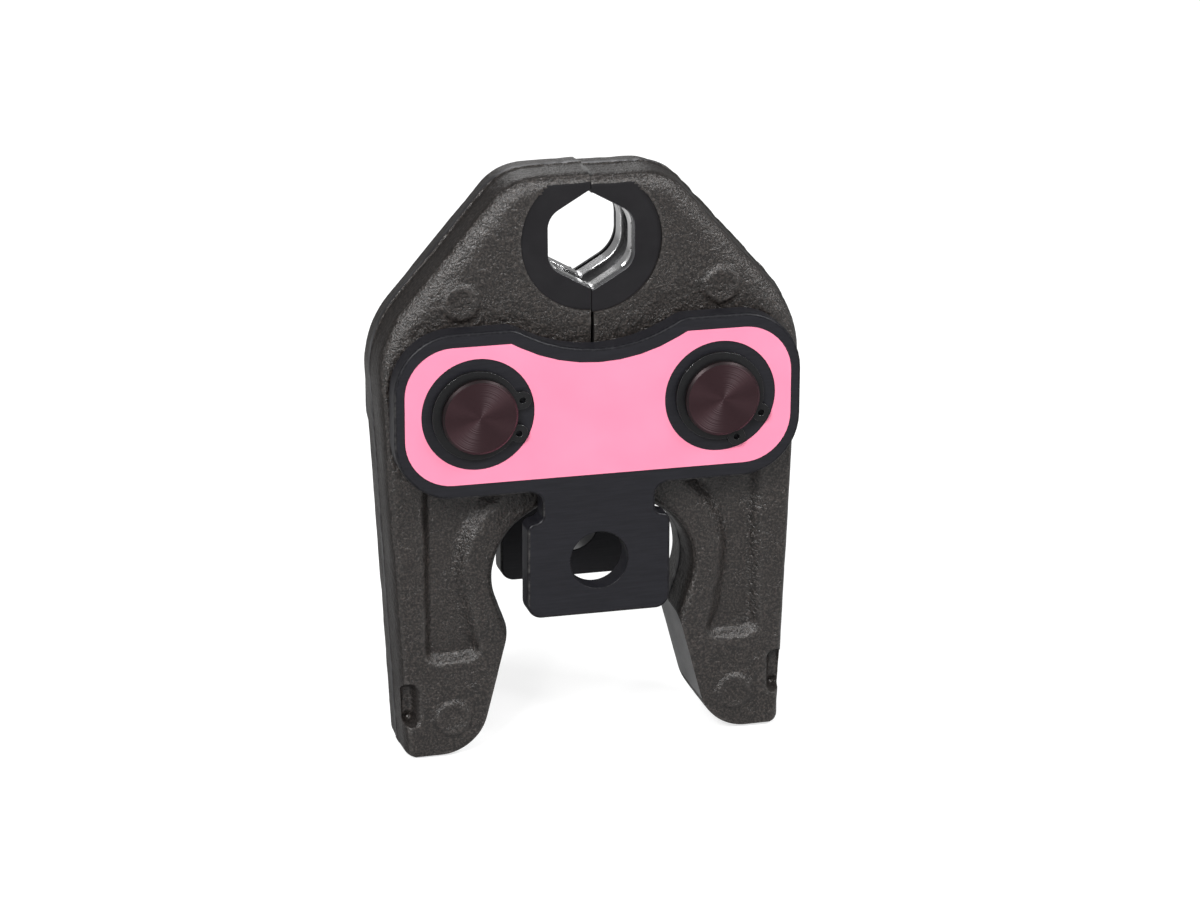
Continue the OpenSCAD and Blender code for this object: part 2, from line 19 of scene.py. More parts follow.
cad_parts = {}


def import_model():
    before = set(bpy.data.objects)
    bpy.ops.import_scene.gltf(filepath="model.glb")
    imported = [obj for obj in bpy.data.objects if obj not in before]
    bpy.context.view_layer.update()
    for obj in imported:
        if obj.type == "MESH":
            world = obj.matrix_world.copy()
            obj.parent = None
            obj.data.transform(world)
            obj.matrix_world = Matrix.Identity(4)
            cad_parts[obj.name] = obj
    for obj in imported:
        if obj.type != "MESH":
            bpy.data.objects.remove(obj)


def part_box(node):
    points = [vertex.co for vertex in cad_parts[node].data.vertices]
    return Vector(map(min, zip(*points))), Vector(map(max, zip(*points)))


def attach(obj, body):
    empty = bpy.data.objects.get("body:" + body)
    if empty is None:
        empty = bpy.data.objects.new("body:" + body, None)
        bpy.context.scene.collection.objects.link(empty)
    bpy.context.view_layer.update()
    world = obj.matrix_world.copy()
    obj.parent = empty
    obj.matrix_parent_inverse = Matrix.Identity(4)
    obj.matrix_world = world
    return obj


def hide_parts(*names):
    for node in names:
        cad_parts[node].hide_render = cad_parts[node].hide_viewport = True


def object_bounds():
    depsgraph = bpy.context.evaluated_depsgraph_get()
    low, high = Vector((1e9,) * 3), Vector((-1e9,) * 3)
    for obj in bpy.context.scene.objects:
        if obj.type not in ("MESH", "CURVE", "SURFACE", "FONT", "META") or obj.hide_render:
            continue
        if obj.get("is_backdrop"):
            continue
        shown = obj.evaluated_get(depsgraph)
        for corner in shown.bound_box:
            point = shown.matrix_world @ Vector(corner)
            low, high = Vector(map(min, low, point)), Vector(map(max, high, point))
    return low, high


LOG = logging.getLogger("press_jaw")
MM = 0.001
TINY = 1e-12

# Painted bow of light across the turned pins, a lighter colour that stands in for their sheen: its
# direction, up from the X axis, and how narrow it is
PAINTED_SHEEN_ANGLE = math.radians(63)
PAINTED_SHEEN_FALL = 22.0

Tree = bpy.types.NodeTree
Socket = bpy.types.NodeSocket
Colour = tuple[float, float, float]


class Body(Enum):
    """Rigid bodies that the pieces ride on."""

    FRAME = "frame"
    LEFT_LEVER = "left_lever"
    RIGHT_LEVER = "right_lever"


class Slot(Enum):
    """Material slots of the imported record."""

    LEVER = "forged_lever"
    PLATE = "link_plate"
    PIN = "pivot_pin"
    RING = "retaining_ring"
    SPRING = "spring_wire"
    LABEL = "label"


class Side(Enum):
    """Which of the two levers a piece belongs to, as the sign of its X."""

    LEFT = -1
    RIGHT = 1


def feed(tree: Tree, entry: Socket, value: Socket | float | tuple) -> None:
    """Gives an input what feeds it.

    Args:
        tree: Tree that holds the input.
        entry: The input.
        value: A socket to link to it, or a constant.
    """
    if isinstance(value, Socket):
        tree.links.new(value, entry)
    else:
        entry.default_value = value


class Shades:
    """Node groups shared by the finishes, each built once."""

    def __init__(self) -> None:
        """Builds the shared groups."""
        self.grain = self._grain()
        self.brush = self._brush()
        self.turning = self._turning()
        self.wear = self._wear()

    @staticmethod
    def _start(name: str, inputs: dict[str, float]) -> tuple[Tree, bpy.types.NodeInputs]:
        """Makes a group with its inputs, all of them values.

        Args:
            name: Name of the group.
            inputs: Names of the inputs and their default values.

        Returns:
            The group, and its inputs by name.
        """
        group = bpy.data.node_groups.new(name, "ShaderNodeTree")
        for label, value in inputs.items():
            socket = group.interface.new_socket(label, in_out="INPUT", socket_type="NodeSocketFloat")
            socket.default_value = value
        return group, group.nodes.new("NodeGroupInput").outputs

    @staticmethod
    def _leave(group: Tree, results: dict[str, Socket]) -> Tree:
        """Gives a group its outputs, all of them values.

        Args:
            group: The group.
            results: Names of the outputs and what feeds them.

        Returns:
            The group.
        """
        for label in results:
            group.interface.new_socket(label, in_out="OUTPUT", socket_type="NodeSocketFloat")
        leave = group.nodes.new("NodeGroupOutput")
        for label, socket in results.items():
            group.links.new(socket, leave.inputs[label])
        return group

    @staticmethod
    def _where(group: Tree) -> Socket:
        """Adds the object's own coordinates."""
        return group.nodes.new("ShaderNodeTexCoord").outputs["Object"]

    @staticmethod
    def _noise(group: Tree, vector: Socket, scale: Socket | float, detail: float, rough: float) -> Socket:
        """Adds a noise texture that reads a vector.

        Args:
            group: Tree that gets the node.
            vector: Socket that gives the coordinates.
            scale: Bumps in a metre, or the socket that gives them.
            detail: Octaves of the noise.
            rough: Roughness of the noise.

        Returns:
            The socket of the noise.
        """
        noise = group.nodes.new("ShaderNodeTexNoise")
        values = {"Vector": vector, "Scale": scale, "Detail": detail, "Roughness": rough}
        for label, value in values.items():
            feed(group, noise.inputs[label], value)
        return noise.outputs["Fac"]

    @staticmethod
    def _range(group: Tree, value: Socket, low: Socket | float, high: Socket | float) -> Socket:
        """Adds a clamped map from low..high to 0..1.

        Args:
            group: Tree that gets the node.
            value: Socket that gives the value.
            low: Value that becomes 0, or the socket that gives it.
            high: Value that becomes 1, or the socket that gives it.

        Returns:
            The output socket.
        """
        node = group.nodes.new("ShaderNodeMapRange")
        for label, given in (("Value", value), ("From Min", low), ("From Max", high)):
            feed(group, node.inputs[label], given)
        return node.outputs["Result"]

    @staticmethod
    def _math(group: Tree, operation: str, *values: Socket | float) -> Socket:
        """Adds a step of arithmetic.

        Args:
            group: Tree that gets the node.
            operation: What the step does.
            values: What feeds its inputs, in order.

        Returns:
            The output socket.
        """
        node = group.nodes.new("ShaderNodeMath")
        node.operation = operation
        for entry, value in zip(node.inputs, values):
            feed(group, entry, value)
        return node.outputs["Value"]

    @staticmethod
    def _vector(group: Tree, operation: str, *values: Socket | tuple) -> bpy.types.NodeOutputs:
        """Adds a step of vector arithmetic.

        Args:
            group: Tree that gets the node.
            operation: What the step does.
            values: What feeds its inputs, in order.

        Returns:
            The step's outputs, Vector and Value.
        """
        node = group.nodes.new("ShaderNodeVectorMath")
        node.operation = operation
        for entry, value in zip(node.inputs, values):
            feed(group, entry, value)
        return node.outputs

    def _grain(self) -> Tree:
        """Builds the blasted grain of a forging: speckle, blotches and height.

        Returns:
            The group.
        """
        group, entry = self._start(
            "forged_grain", {"Fine Scale": 2200.0, "Coarse Scale": 420.0, "Coarse Share": 0.5}
        )
        where = self._where(group)
        fine = self._noise(group, where, entry["Fine Scale"], 3.0, 0.6)
        coarse = self._noise(group, where, entry["Coarse Scale"], 3.0, 0.55)
        blotch = self._noise(group, where, 70.0, 2.0, 0.5)
        mix = group.nodes.new("ShaderNodeMix")
        for label, socket in (("Factor", entry["Coarse Share"]), ("A", fine), ("B", coarse)):
            group.links.new(socket, mix.inputs[label])
        results = {
            "Speckle": self._range(group, fine, 0.45, 0.7),
            "Blotch": self._range(group, blotch, 0.3, 0.7),
            "Height": mix.outputs["Result"],
        }
        return self._leave(group, results)

    def _brush(self) -> Tree:
        """Builds straight brush marks that run along X.

        Returns:
            The group.
        """
        group, entry = self._start("brush_marks", {"Along": 60.0, "Across": 2600.0})
        where = self._where(group)
        stretch = group.nodes.new("ShaderNodeCombineXYZ")
        for axis, label in (("X", "Along"), ("Y", "Across"), ("Z", "Across")):
            group.links.new(entry[label], stretch.inputs[axis])
        stretched = self._vector(group, "MULTIPLY", where, stretch.outputs["Vector"])["Vector"]
        streak = self._noise(group, stretched, 1.0, 2.0, 0.6)
        smudge = self._noise(group, where, 90.0, 3.0, 0.55)
        results = {
            "Streak": self._range(group, streak, 0.35, 0.7),
            "Smudge": self._range(group, smudge, 0.35, 0.7),
            "Height": streak,
        }
        return self._leave(group, results)

    def _turning(self) -> Tree:
        """Builds the rings that a lathe leaves round an axis along Y, and a painted sheen across them.

        Returns:
            The group.
        """
        group, entry = self._start("turning_marks", {"Centre X": 0.0, "Centre Z": 0.0, "Pitch": 4200.0})
        centre = group.nodes.new("ShaderNodeCombineXYZ")
        for axis in ("X", "Z"):
            group.links.new(entry[f"Centre {axis}"], centre.inputs[axis])
        offset = self._vector(group, "SUBTRACT", self._where(group), centre.outputs["Vector"])["Vector"]
        arm = self._vector(group, "MULTIPLY", offset, (1.0, 0.0, 1.0))["Vector"]
        length = self._vector(group, "LENGTH", arm)["Value"]
        ring = group.nodes.new("ShaderNodeTexNoise")
        ring.noise_dimensions = "1D"
        ring.inputs["Scale"].default_value = 1.0
        ring.inputs["Detail"].default_value = 3.0
        group.links.new(self._math(group, "MULTIPLY", length, entry["Pitch"]), ring.inputs["W"])
        rings = self._range(group, ring.outputs["Fac"], 0.35, 0.65)
        # Painted sheen: a bow of lighter colour at a fixed angle, standing in for light on the turned face
        sheen = self._painted_sheen(group, arm, rings)
        return self._leave(group, {"Ring": rings, "Sheen": sheen, "Height": ring.outputs["Fac"]})

    def _painted_sheen(self, group: Tree, arm: Socket, rings: Socket) -> Socket:
        """Adds a painted sheen: a bow of lighter colour across turned rings, standing in for their light.

        Args:
            group: Tree that gets the nodes.
            arm: Socket of the vector from the axis.
            rings: Socket that breaks the bow up.

        Returns:
            The socket of the painted sheen's strength.
        """
        bow = (math.cos(PAINTED_SHEEN_ANGLE), 0.0, math.sin(PAINTED_SHEEN_ANGLE))
        unit = self._vector(group, "NORMALIZE", arm)["Vector"]
        along = self._math(group, "ABSOLUTE", self._vector(group, "DOT_PRODUCT", unit, bow)["Value"])
        return self._math(group, "MULTIPLY", self._math(group, "POWER", along, PAINTED_SHEEN_FALL), rings)

    def _wear(self) -> Tree:
        """Builds a mask of rubbed edges, broken up by noise.

        Returns:
            The group.
        """
        group, entry = self._start("edge_wear", {"From": 0.52, "To": 0.6, "Break Up Scale": 500.0})
        curve = group.nodes.new("ShaderNodeNewGeometry").outputs["Pointiness"]
        edge = self._range(group, curve, entry["From"], entry["To"])
        noise = self._noise(group, self._where(group), entry["Break Up Scale"], 4.0, 0.7)
        breaks = self._range(group, noise, 0.4, 0.62)
        return self._leave(group, {"Worn": self._math(group, "MULTIPLY", edge, breaks)})


@dataclass(frozen=True)
class Finish:
    """A surface finish: one colour and its lighter variation, gloss and relief."""

    name: str
    base: Colour
    light: Colour
    metallic: float
    rough: tuple[float, float]
    bump_um: float
    specular: float = 0.5
    anisotropic: float = 0.0
    effect: str = "grain"
    values: dict[str, float] = field(default_factory=dict)
    tint_by: str = "Blotch"
    rough_by: str = "Blotch"
    worn: Colour | None = None
    wear_values: dict[str, float] = field(default_factory=dict)

    def material(self, shades: Shades) -> bpy.types.Material:
        """Makes the material of this finish.

        Args:
            shades: The shared node groups.

        Returns:
            The new material.
        """
        material = bpy.data.materials.new(self.name)
        material.use_nodes = True
        tree = material.node_tree
        surface = tree.nodes["Principled BSDF"]
        surface.inputs["Metallic"].default_value = self.metallic
        surface.inputs["Specular IOR Level"].default_value = self.specular
        surface.inputs["Anisotropic"].default_value = self.anisotropic
        effect = self._group(tree, getattr(shades, self.effect), self.values)
        tint = self._mix(tree, effect[self.tint_by], self.base, self.light)
        if self.worn:
            wear = self._group(tree, shades.wear, self.wear_values)
            tint = self._mix(tree, wear["Worn"], tint, self.worn)
        tree.links.new(tint, surface.inputs["Base Color"])
        rough = tree.nodes.new("ShaderNodeMapRange")
        for label, value in zip(("Value", "To Min", "To Max"), (effect[self.rough_by], *self.rough)):
            feed(tree, rough.inputs[label], value)
        tree.links.new(rough.outputs["Result"], surface.inputs["Roughness"])
        bump = tree.nodes.new("ShaderNodeBump")
        bump.inputs["Distance"].default_value = self.bump_um * MM * MM
        tree.links.new(effect["Height"], bump.inputs["Height"])
        tree.links.new(bump.outputs["Normal"], surface.inputs["Normal"])
        if self.anisotropic:
            tangent = tree.nodes.new("ShaderNodeTangent")
            tangent.direction_type = "RADIAL"
            tangent.axis = "Y"
            tree.links.new(tangent.outputs["Tangent"], surface.inputs["Tangent"])
        return material

    @staticmethod
    def _group(tree: Tree, group: Tree, values: dict[str, float]) -> bpy.types.NodeOutputs:
        """Places a shared group and sets its inputs.

        Args:
            tree: Tree of the material.
            group: The shared group.
            values: Inputs to set, by name.

        Returns:
            The group's outputs.
        """
        node = tree.nodes.new("ShaderNodeGroup")
        node.node_tree = group
        for label, value in values.items():
            node.inputs[label].default_value = value
        return node.outputs

    @staticmethod
    def _mix(tree: Tree, factor: Socket, low: Socket | Colour, high: Colour) -> Socket:
        """Mixes two colours by a mask.

        Args:
            tree: Tree of the material.
            factor: Socket of the mask.
            low: Colour, or the socket that gives it, where the mask is 0.
            high: Colour where the mask is 1.

        Returns:
            The socket of the mixed colour.
        """
        mix = tree.nodes.new("ShaderNodeMix")
        mix.data_type = "RGBA"
        slots = [s for s in mix.inputs if s.type == "RGBA"]
        tree.links.new(factor, mix.inputs["Factor"])
        for slot, colour in zip(slots, (low, high)):
            feed(tree, slot, (*colour, 1.0) if isinstance(colour, tuple) else colour)
        return next(s for s in mix.outputs if s.type == "RGBA")


FORGED_GRAIN = {"Fine Scale": 1900.0, "Coarse Scale": 760.0, "Coarse Share": 0.6}
FORGED_WEAR = {"From": 0.505, "To": 0.56}

FORGED = Finish(
    "forged_skin", (0.007, 0.0055, 0.0048), (0.056, 0.046, 0.041), 0.12, (0.38, 0.28), 640, specular=0.7,
    values=FORGED_GRAIN, tint_by="Speckle", worn=(0.06, 0.054, 0.05), wear_values=FORGED_WEAR,
)
DRAWN = Finish(
    "drawn_side", (0.009, 0.0075, 0.0068), (0.03, 0.025, 0.023), 0.1, (0.5, 0.4), 380, specular=0.3,
    values=FORGED_GRAIN, tint_by="Speckle", worn=(0.05, 0.046, 0.044), wear_values=FORGED_WEAR,
)
TRIMMED = Finish(
    "trimmed_flash", (0.016, 0.0155, 0.0175), (0.045, 0.044, 0.048), 0.5, (0.46, 0.36), 18, specular=0.3,
    effect="brush", values={"Along": 900.0, "Across": 300.0}, tint_by="Smudge", rough_by="Smudge",
)
FACED = Finish(
    "faced_ring", (0.0066, 0.006, 0.0074), (0.0125, 0.0118, 0.0135), 0.1, (0.5, 0.42), 6, specular=0.3,
    effect="brush", values={"Along": 1400.0, "Across": 90.0}, tint_by="Smudge", rough_by="Smudge",
)
PARTING = Finish(
    "parting_face", (0.012, 0.011, 0.011), (0.03, 0.028, 0.027), 0.3, (0.5, 0.42), 10,
    effect="brush", values={"Along": 900.0, "Across": 900.0}, tint_by="Smudge", rough_by="Smudge",
)
BARE = Finish(
    "bare_steel", (0.15, 0.15, 0.154), (0.24, 0.24, 0.243), 0.85, (0.42, 0.34), 6,
    effect="brush", values={"Along": 400.0, "Across": 2200.0}, tint_by="Smudge", rough_by="Streak",
)
LAND = Finish("polished_land", (0.6, 0.6, 0.61), (0.76, 0.76, 0.76), 1.0, (0.27, 0.2), 3)
# Groove floors painted near black: painted shade for the shadow that falls in the mouth's grooves.
GROOVE_PAINTED_SHADE = Finish("dark_groove", (0.012, 0.012, 0.013), (0.03, 0.03, 0.032), 0.6, (0.36, 0.26), 5)
LIP = Finish("dark_lip", (0.04, 0.04, 0.043), (0.08, 0.08, 0.085), 0.8, (0.34, 0.25), 4)
RIM = Finish(
    "mouth_rim", (0.07, 0.07, 0.075), (0.3, 0.3, 0.31), 0.85, (0.36, 0.24), 4, values={"Fine Scale": 900.0}
)
BLUED = Finish(
    "blued_plate", (0.0085, 0.0085, 0.0115), (0.0125, 0.0125, 0.0165), 0.1, (0.48, 0.42), 6, specular=0.32,
    effect="brush", values={"Along": 160.0, "Across": 2400.0}, tint_by="Streak", rough_by="Smudge",
)
BLUED_EDGE = Finish(
    "plate_edge", (0.007, 0.007, 0.009), (0.022, 0.022, 0.025), 0.15, (0.45, 0.36), 8, specular=0.22,
    values={"Fine Scale": 1500.0}, tint_by="Speckle", worn=(0.06, 0.058, 0.056),
    wear_values={"From": 0.54, "To": 0.7, "Break Up Scale": 900.0},
)
# The pins' colour lightens along a painted sheen, a fixed bow of light across their turned faces, broken up
# by the real turning rings.
TURNED_WITH_PAINTED_SHEEN = Finish(
    "turned_pin", (0.066, 0.037, 0.042), (0.165, 0.115, 0.125), 1.0, (0.44, 0.38), 0.8, anisotropic=0.7,
    effect="turning", tint_by="Sheen", rough_by="Ring",
)
PIN_EDGE = Finish("pin_side", (0.02, 0.014, 0.015), (0.05, 0.038, 0.04), 0.8, (0.4, 0.3), 4)
BLACKED = Finish(
    "blacked_ring", (0.0055, 0.0055, 0.006), (0.0095, 0.0095, 0.0105), 0.1, (0.42, 0.34), 5, specular=0.32
)
RING_EDGE = Finish(
    "ring_edge", (0.1, 0.102, 0.105), (0.22, 0.223, 0.226), 0.8, (0.34, 0.26), 4,
    worn=(0.16, 0.165, 0.17), wear_values={"From": 0.52, "To": 0.66},
)
WIRE = Finish("spring_wire", (0.4, 0.4, 0.41), (0.55, 0.55, 0.56), 1.0, (0.3, 0.24), 2)
FILM = Finish(
    "label_film", (0.86, 0.24, 0.37), (0.89, 0.265, 0.4), 0.0, (0.6, 0.5), 4, specular=0.3,
    values={"Fine Scale": 900.0},
)


@dataclass(frozen=True)
class Corner:
    """One corner of an outline; its share is of the way that its next edge moves as the outline shrinks."""

    x: float
    z: float
    radius: float
    share: float = 1.0

    @property
    def at(self) -> np.ndarray:
        """The corner as a point."""
        return np.array([self.x, self.z])


class Outline:
    """Closed outline of rounded corners, run anticlockwise, that keeps its point count as it shrinks."""

    LEAST_RADIUS = 0.05

    def __init__(self, corners: list[Corner], spacing: float, arc_step: float = 4.0) -> None:
        """Settles how many points each arc and each edge gets.

        Args:
            corners: The corners in order.
            spacing: Distance between the points of an edge.
            arc_step: Largest turn between two points of an arc, in degrees.
        """
        self.corners = corners
        self.arc_counts = []
        for i, corner in enumerate(corners):
            into, out = self._directions(i)
            bend = math.degrees(math.acos(float(np.clip(into @ out, -1, 1))))
            self.arc_counts.append(max(1, math.ceil(bend / arc_step)) if corner.radius > 0 else 0)
        arcs = [self._arc(i, 0.0) for i in range(len(corners))]
        self.edge_counts = []
        for i, arc in enumerate(arcs):
            gap = np.linalg.norm(arcs[(i + 1) % len(arcs)][0] - arc[-1])
            self.edge_counts.append(max(1, round(gap / spacing)))

    def _directions(self, i: int) -> tuple[np.ndarray, np.ndarray]:
        """Gives the unit directions of the edges before and after a corner.

        Args:
            i: Number of the corner.

        Returns:
            The direction into the corner and the one out of it.
        """
        into = self.corners[i].at - self.corners[i - 1].at
        out = self.corners[(i + 1) % len(self.corners)].at - self.corners[i].at
        return into / np.linalg.norm(into), out / np.linalg.norm(out)

    def _arc(self, i: int, inset: float) -> np.ndarray:
        """Gives the points of corner i of the shrunken outline.

        Args:
            i: Number of the corner.
            inset: Distance by which an edge of share 1 moves inwards.

        Returns:
            The points of the corner's arc, or the one point of a sharp corner.
        """
        corner = self.corners[i]
        into, out = self._directions(i)
        turn = into[0] * out[1] - into[1] * out[0]
        shift_in = inset * self.corners[i - 1].share
        shift_out = inset * corner.share
        tip = corner.at + (shift_in * out - shift_out * into) / turn
        if self.arc_counts[i] == 0:
            return tip[None]
        side = math.copysign(1.0, turn)
        radius = max(self.LEAST_RADIUS, corner.radius - side * (shift_in + shift_out) / 2)
        bend = math.acos(float(np.clip(into @ out, -1, 1)))
        start = tip - into * radius * math.tan(bend / 2)
        centre = start + side * radius * np.array([-into[1], into[0]])
        angles = side * bend * np.linspace(0, 1, self.arc_counts[i] + 1)
        arm_x, arm_z = start - centre
        cos, sin = np.cos(angles), np.sin(angles)
        return centre + np.stack([arm_x * cos - arm_z * sin, arm_x * sin + arm_z * cos], 1)

    def points(self, inset: float = 0.0) -> np.ndarray:
        """Gives the outline's points after it has shrunk.

        Args:
            inset: Distance by which an edge of share 1 moves inwards.

        Returns:
            Points in order, as rows of x and z.
        """
        arcs = [self._arc(i, inset) for i in range(len(self.corners))]
        run = []
        for i, arc in enumerate(arcs):
            run.append(arc)
            following = arcs[(i + 1) % len(arcs)][0]
            steps = np.arange(1, self.edge_counts[i])[:, None] / self.edge_counts[i]
            run.append(arc[-1] + (following - arc[-1]) * steps)
        return np.concatenate(run)

    def edge_numbers(self) -> np.ndarray:
        """Gives for each point the number of the corner whose arc or following edge it is on."""
        runs = [arc + edge if arc else edge for arc, edge in zip(self.arc_counts, self.edge_counts)]
        return np.concatenate([np.full(n, i) for i, n in enumerate(runs)])


def signed_depth(points: np.ndarray, loop: np.ndarray) -> np.ndarray:
    """Gives how deep points lie inside a closed loop.

    Args:
        points: Rows of x and z.
        loop: Rows of x and z of the loop's corners.

    Returns:
        Distance to the loop, positive inside it and negative outside.
    """
    start = loop
    run = np.roll(loop, -1, axis=0) - start
    length = np.maximum((run**2).sum(1), TINY)
    away = points[:, None, :] - start[None]
    along = np.clip((away * run[None]).sum(2) / length, 0, 1)
    nearest = away - along[..., None] * run[None]
    distance = np.sqrt((nearest**2).sum(2)).min(1)
    end = start + run
    spans = (start[None, :, 1] > points[:, None, 1]) != (end[None, :, 1] > points[:, None, 1])
    slope = run[None, :, 0] / np.where(run[None, :, 1] == 0, TINY, run[None, :, 1])
    crosses = spans & (points[:, None, 0] < slope * away[..., 1] + start[None, :, 0])
    return np.where(crosses.sum(1) % 2 == 1, distance, -distance)


def ramp(value: np.ndarray, low: float, high: float) -> np.ndarray:
    """Gives a smooth step from 0 at low to 1 at high."""
    t = np.clip((value - low) / (high - low), 0, 1)
    return t * t * (3 - 2 * t)


def tan_deg(angle: float) -> float:
    """Gives the tangent of an angle in degrees."""
    return math.tan(math.radians(angle))


def circle(x: float, z: float, radius: float, count: int) -> np.ndarray:
    """Gives points round a circle.

    Args:
        x: X of its centre.
        z: Z of its centre.
        radius: Its radius.
        count: Number of points.

    Returns:
        Rows of x and z.
    """
    turn = np.linspace(0, 2 * np.pi, count, endpoint=False)
    return np.stack([x + radius * np.cos(turn), z + radius * np.sin(turn)], 1)


def at_depth(flat: np.ndarray, y: float) -> np.ndarray:
    """Turns rows of x and z into rows of x, y and z."""
    return np.stack([flat[:, 0], np.full(len(flat), y), flat[:, 1]], 1)


def joined_rings(rings: int, count: int) -> list[list[int]]:
    """Joins rings of points by four-sided faces.

    Args:
        rings: Number of rings.
        count: Number of points in a ring.

    Returns:
        The faces as lists of point numbers, strip after strip.
    """
    faces = []
    for start in range(0, (rings - 1) * count, count):
        for i in range(count):
            j = (i + 1) % count
            faces.append([start + i, start + j, start + count + j, start + count + i])
    return faces


class Unevenness:
    """Smooth random field, as the sum of plane waves."""

    def __init__(self, seed: int, wavelength: float, waves: int = 24) -> None:
        """Draws the waves.

        Args:
            seed: Seed of the random draws.
            wavelength: Typical distance between two bumps.
            waves: Number of waves.
        """
        draw = np.random.default_rng(seed)
        heading = draw.normal(size=(waves, 3))
        heading /= np.linalg.norm(heading, axis=1)[:, None]
        self.heading = heading * 2 * np.pi / (wavelength * draw.uniform(0.7, 1.6, (waves, 1)))
        self.phase = draw.uniform(0, 2 * np.pi, waves)

    def at(self, points: np.ndarray) -> np.ndarray:
        """Gives the field, mostly between -1 and 1, at rows of x, y and z."""
        return np.sin(points @ self.heading.T + self.phase).sum(1) / math.sqrt(len(self.phase))


def uneven(recipe: tuple[int, float, float], side: Side, points: np.ndarray) -> np.ndarray:
    """Gives a lever's unevenness at some points.

    Args:
        recipe: Seed, wavelength and height of the unevenness.
        side: Which lever it is, which changes the seed.
        points: Rows of x, y and z.

    Returns:
        One height for each point.
    """
    seed, wavelength, height = recipe
    return Unevenness(seed + side.value, wavelength).at(points) * height


def make_mesh(name: str, points: np.ndarray, faces: list, merge: float = 0.0) -> bpy.types.Mesh:
    """Makes a mesh in metres from points in millimetres.

    Args:
        name: Name of the mesh.
        points: Rows of x, y and z in millimetres.
        faces: Lists of point numbers.
        merge: Points closer than this many millimetres become one.

    Returns:
        The mesh, with its faces turned outwards.
    """
    mesh = bpy.data.meshes.new(name)
    mesh.from_pydata((np.asarray(points) * MM).tolist(), [], [list(map(int, f)) for f in faces])
    work = bmesh.new()
    work.from_mesh(mesh)
    if merge:
        bmesh.ops.remove_doubles(work, verts=work.verts, dist=merge * MM)
        bmesh.ops.dissolve_degenerate(work, edges=work.edges, dist=merge * MM / 10)
    bmesh.ops.recalc_face_normals(work, faces=work.faces)
    work.to_mesh(mesh)
    work.free()
    return mesh


def place(name: str, mesh: bpy.types.Mesh, body: Body, materials: list) -> bpy.types.Object:
    """Makes an object of a mesh and lets it ride on a body.

    Args:
        name: Name of the piece.
        mesh: Its mesh.
        body: Body that carries it.
        materials: Materials of the mesh, in order.

    Returns:
        The object.
    """
    piece = bpy.data.objects.new(name, mesh)
    bpy.context.scene.collection.objects.link(piece)
    mesh.materials.clear()
    for material in materials:
        mesh.materials.append(material)
    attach(piece, body.value)
    return piece


def settle(piece: bpy.types.Object) -> None:
    """Applies the modifiers of a piece to its mesh.

    Args:
        piece: The piece.
    """
    bpy.context.view_layer.update()
    seen = piece.evaluated_get(bpy.context.evaluated_depsgraph_get())
    mesh = bpy.data.meshes.new_from_object(seen)
    piece.modifiers.clear()
    old = piece.data
    piece.data = mesh
    bpy.data.meshes.remove(old)


def shade(piece: bpy.types.Object, angle_deg: float, weight: int = 50) -> None:
    """Shades a piece smooth, with sharp edges above an angle and flat faces kept flat.

    Args:
        piece: The piece.
        angle_deg: Edges that bend more than this stay sharp.
        weight: How strongly large faces draw the normals.
    """
    mesh = piece.data
    mesh.polygons.foreach_set("use_smooth", [True] * len(mesh.polygons))
    mesh.set_sharp_from_angle(angle=math.radians(angle_deg))
    weighted = piece.modifiers.new("weighted", "WEIGHTED_NORMAL")
    weighted.keep_sharp = True
    weighted.weight = weight
    settle(piece)


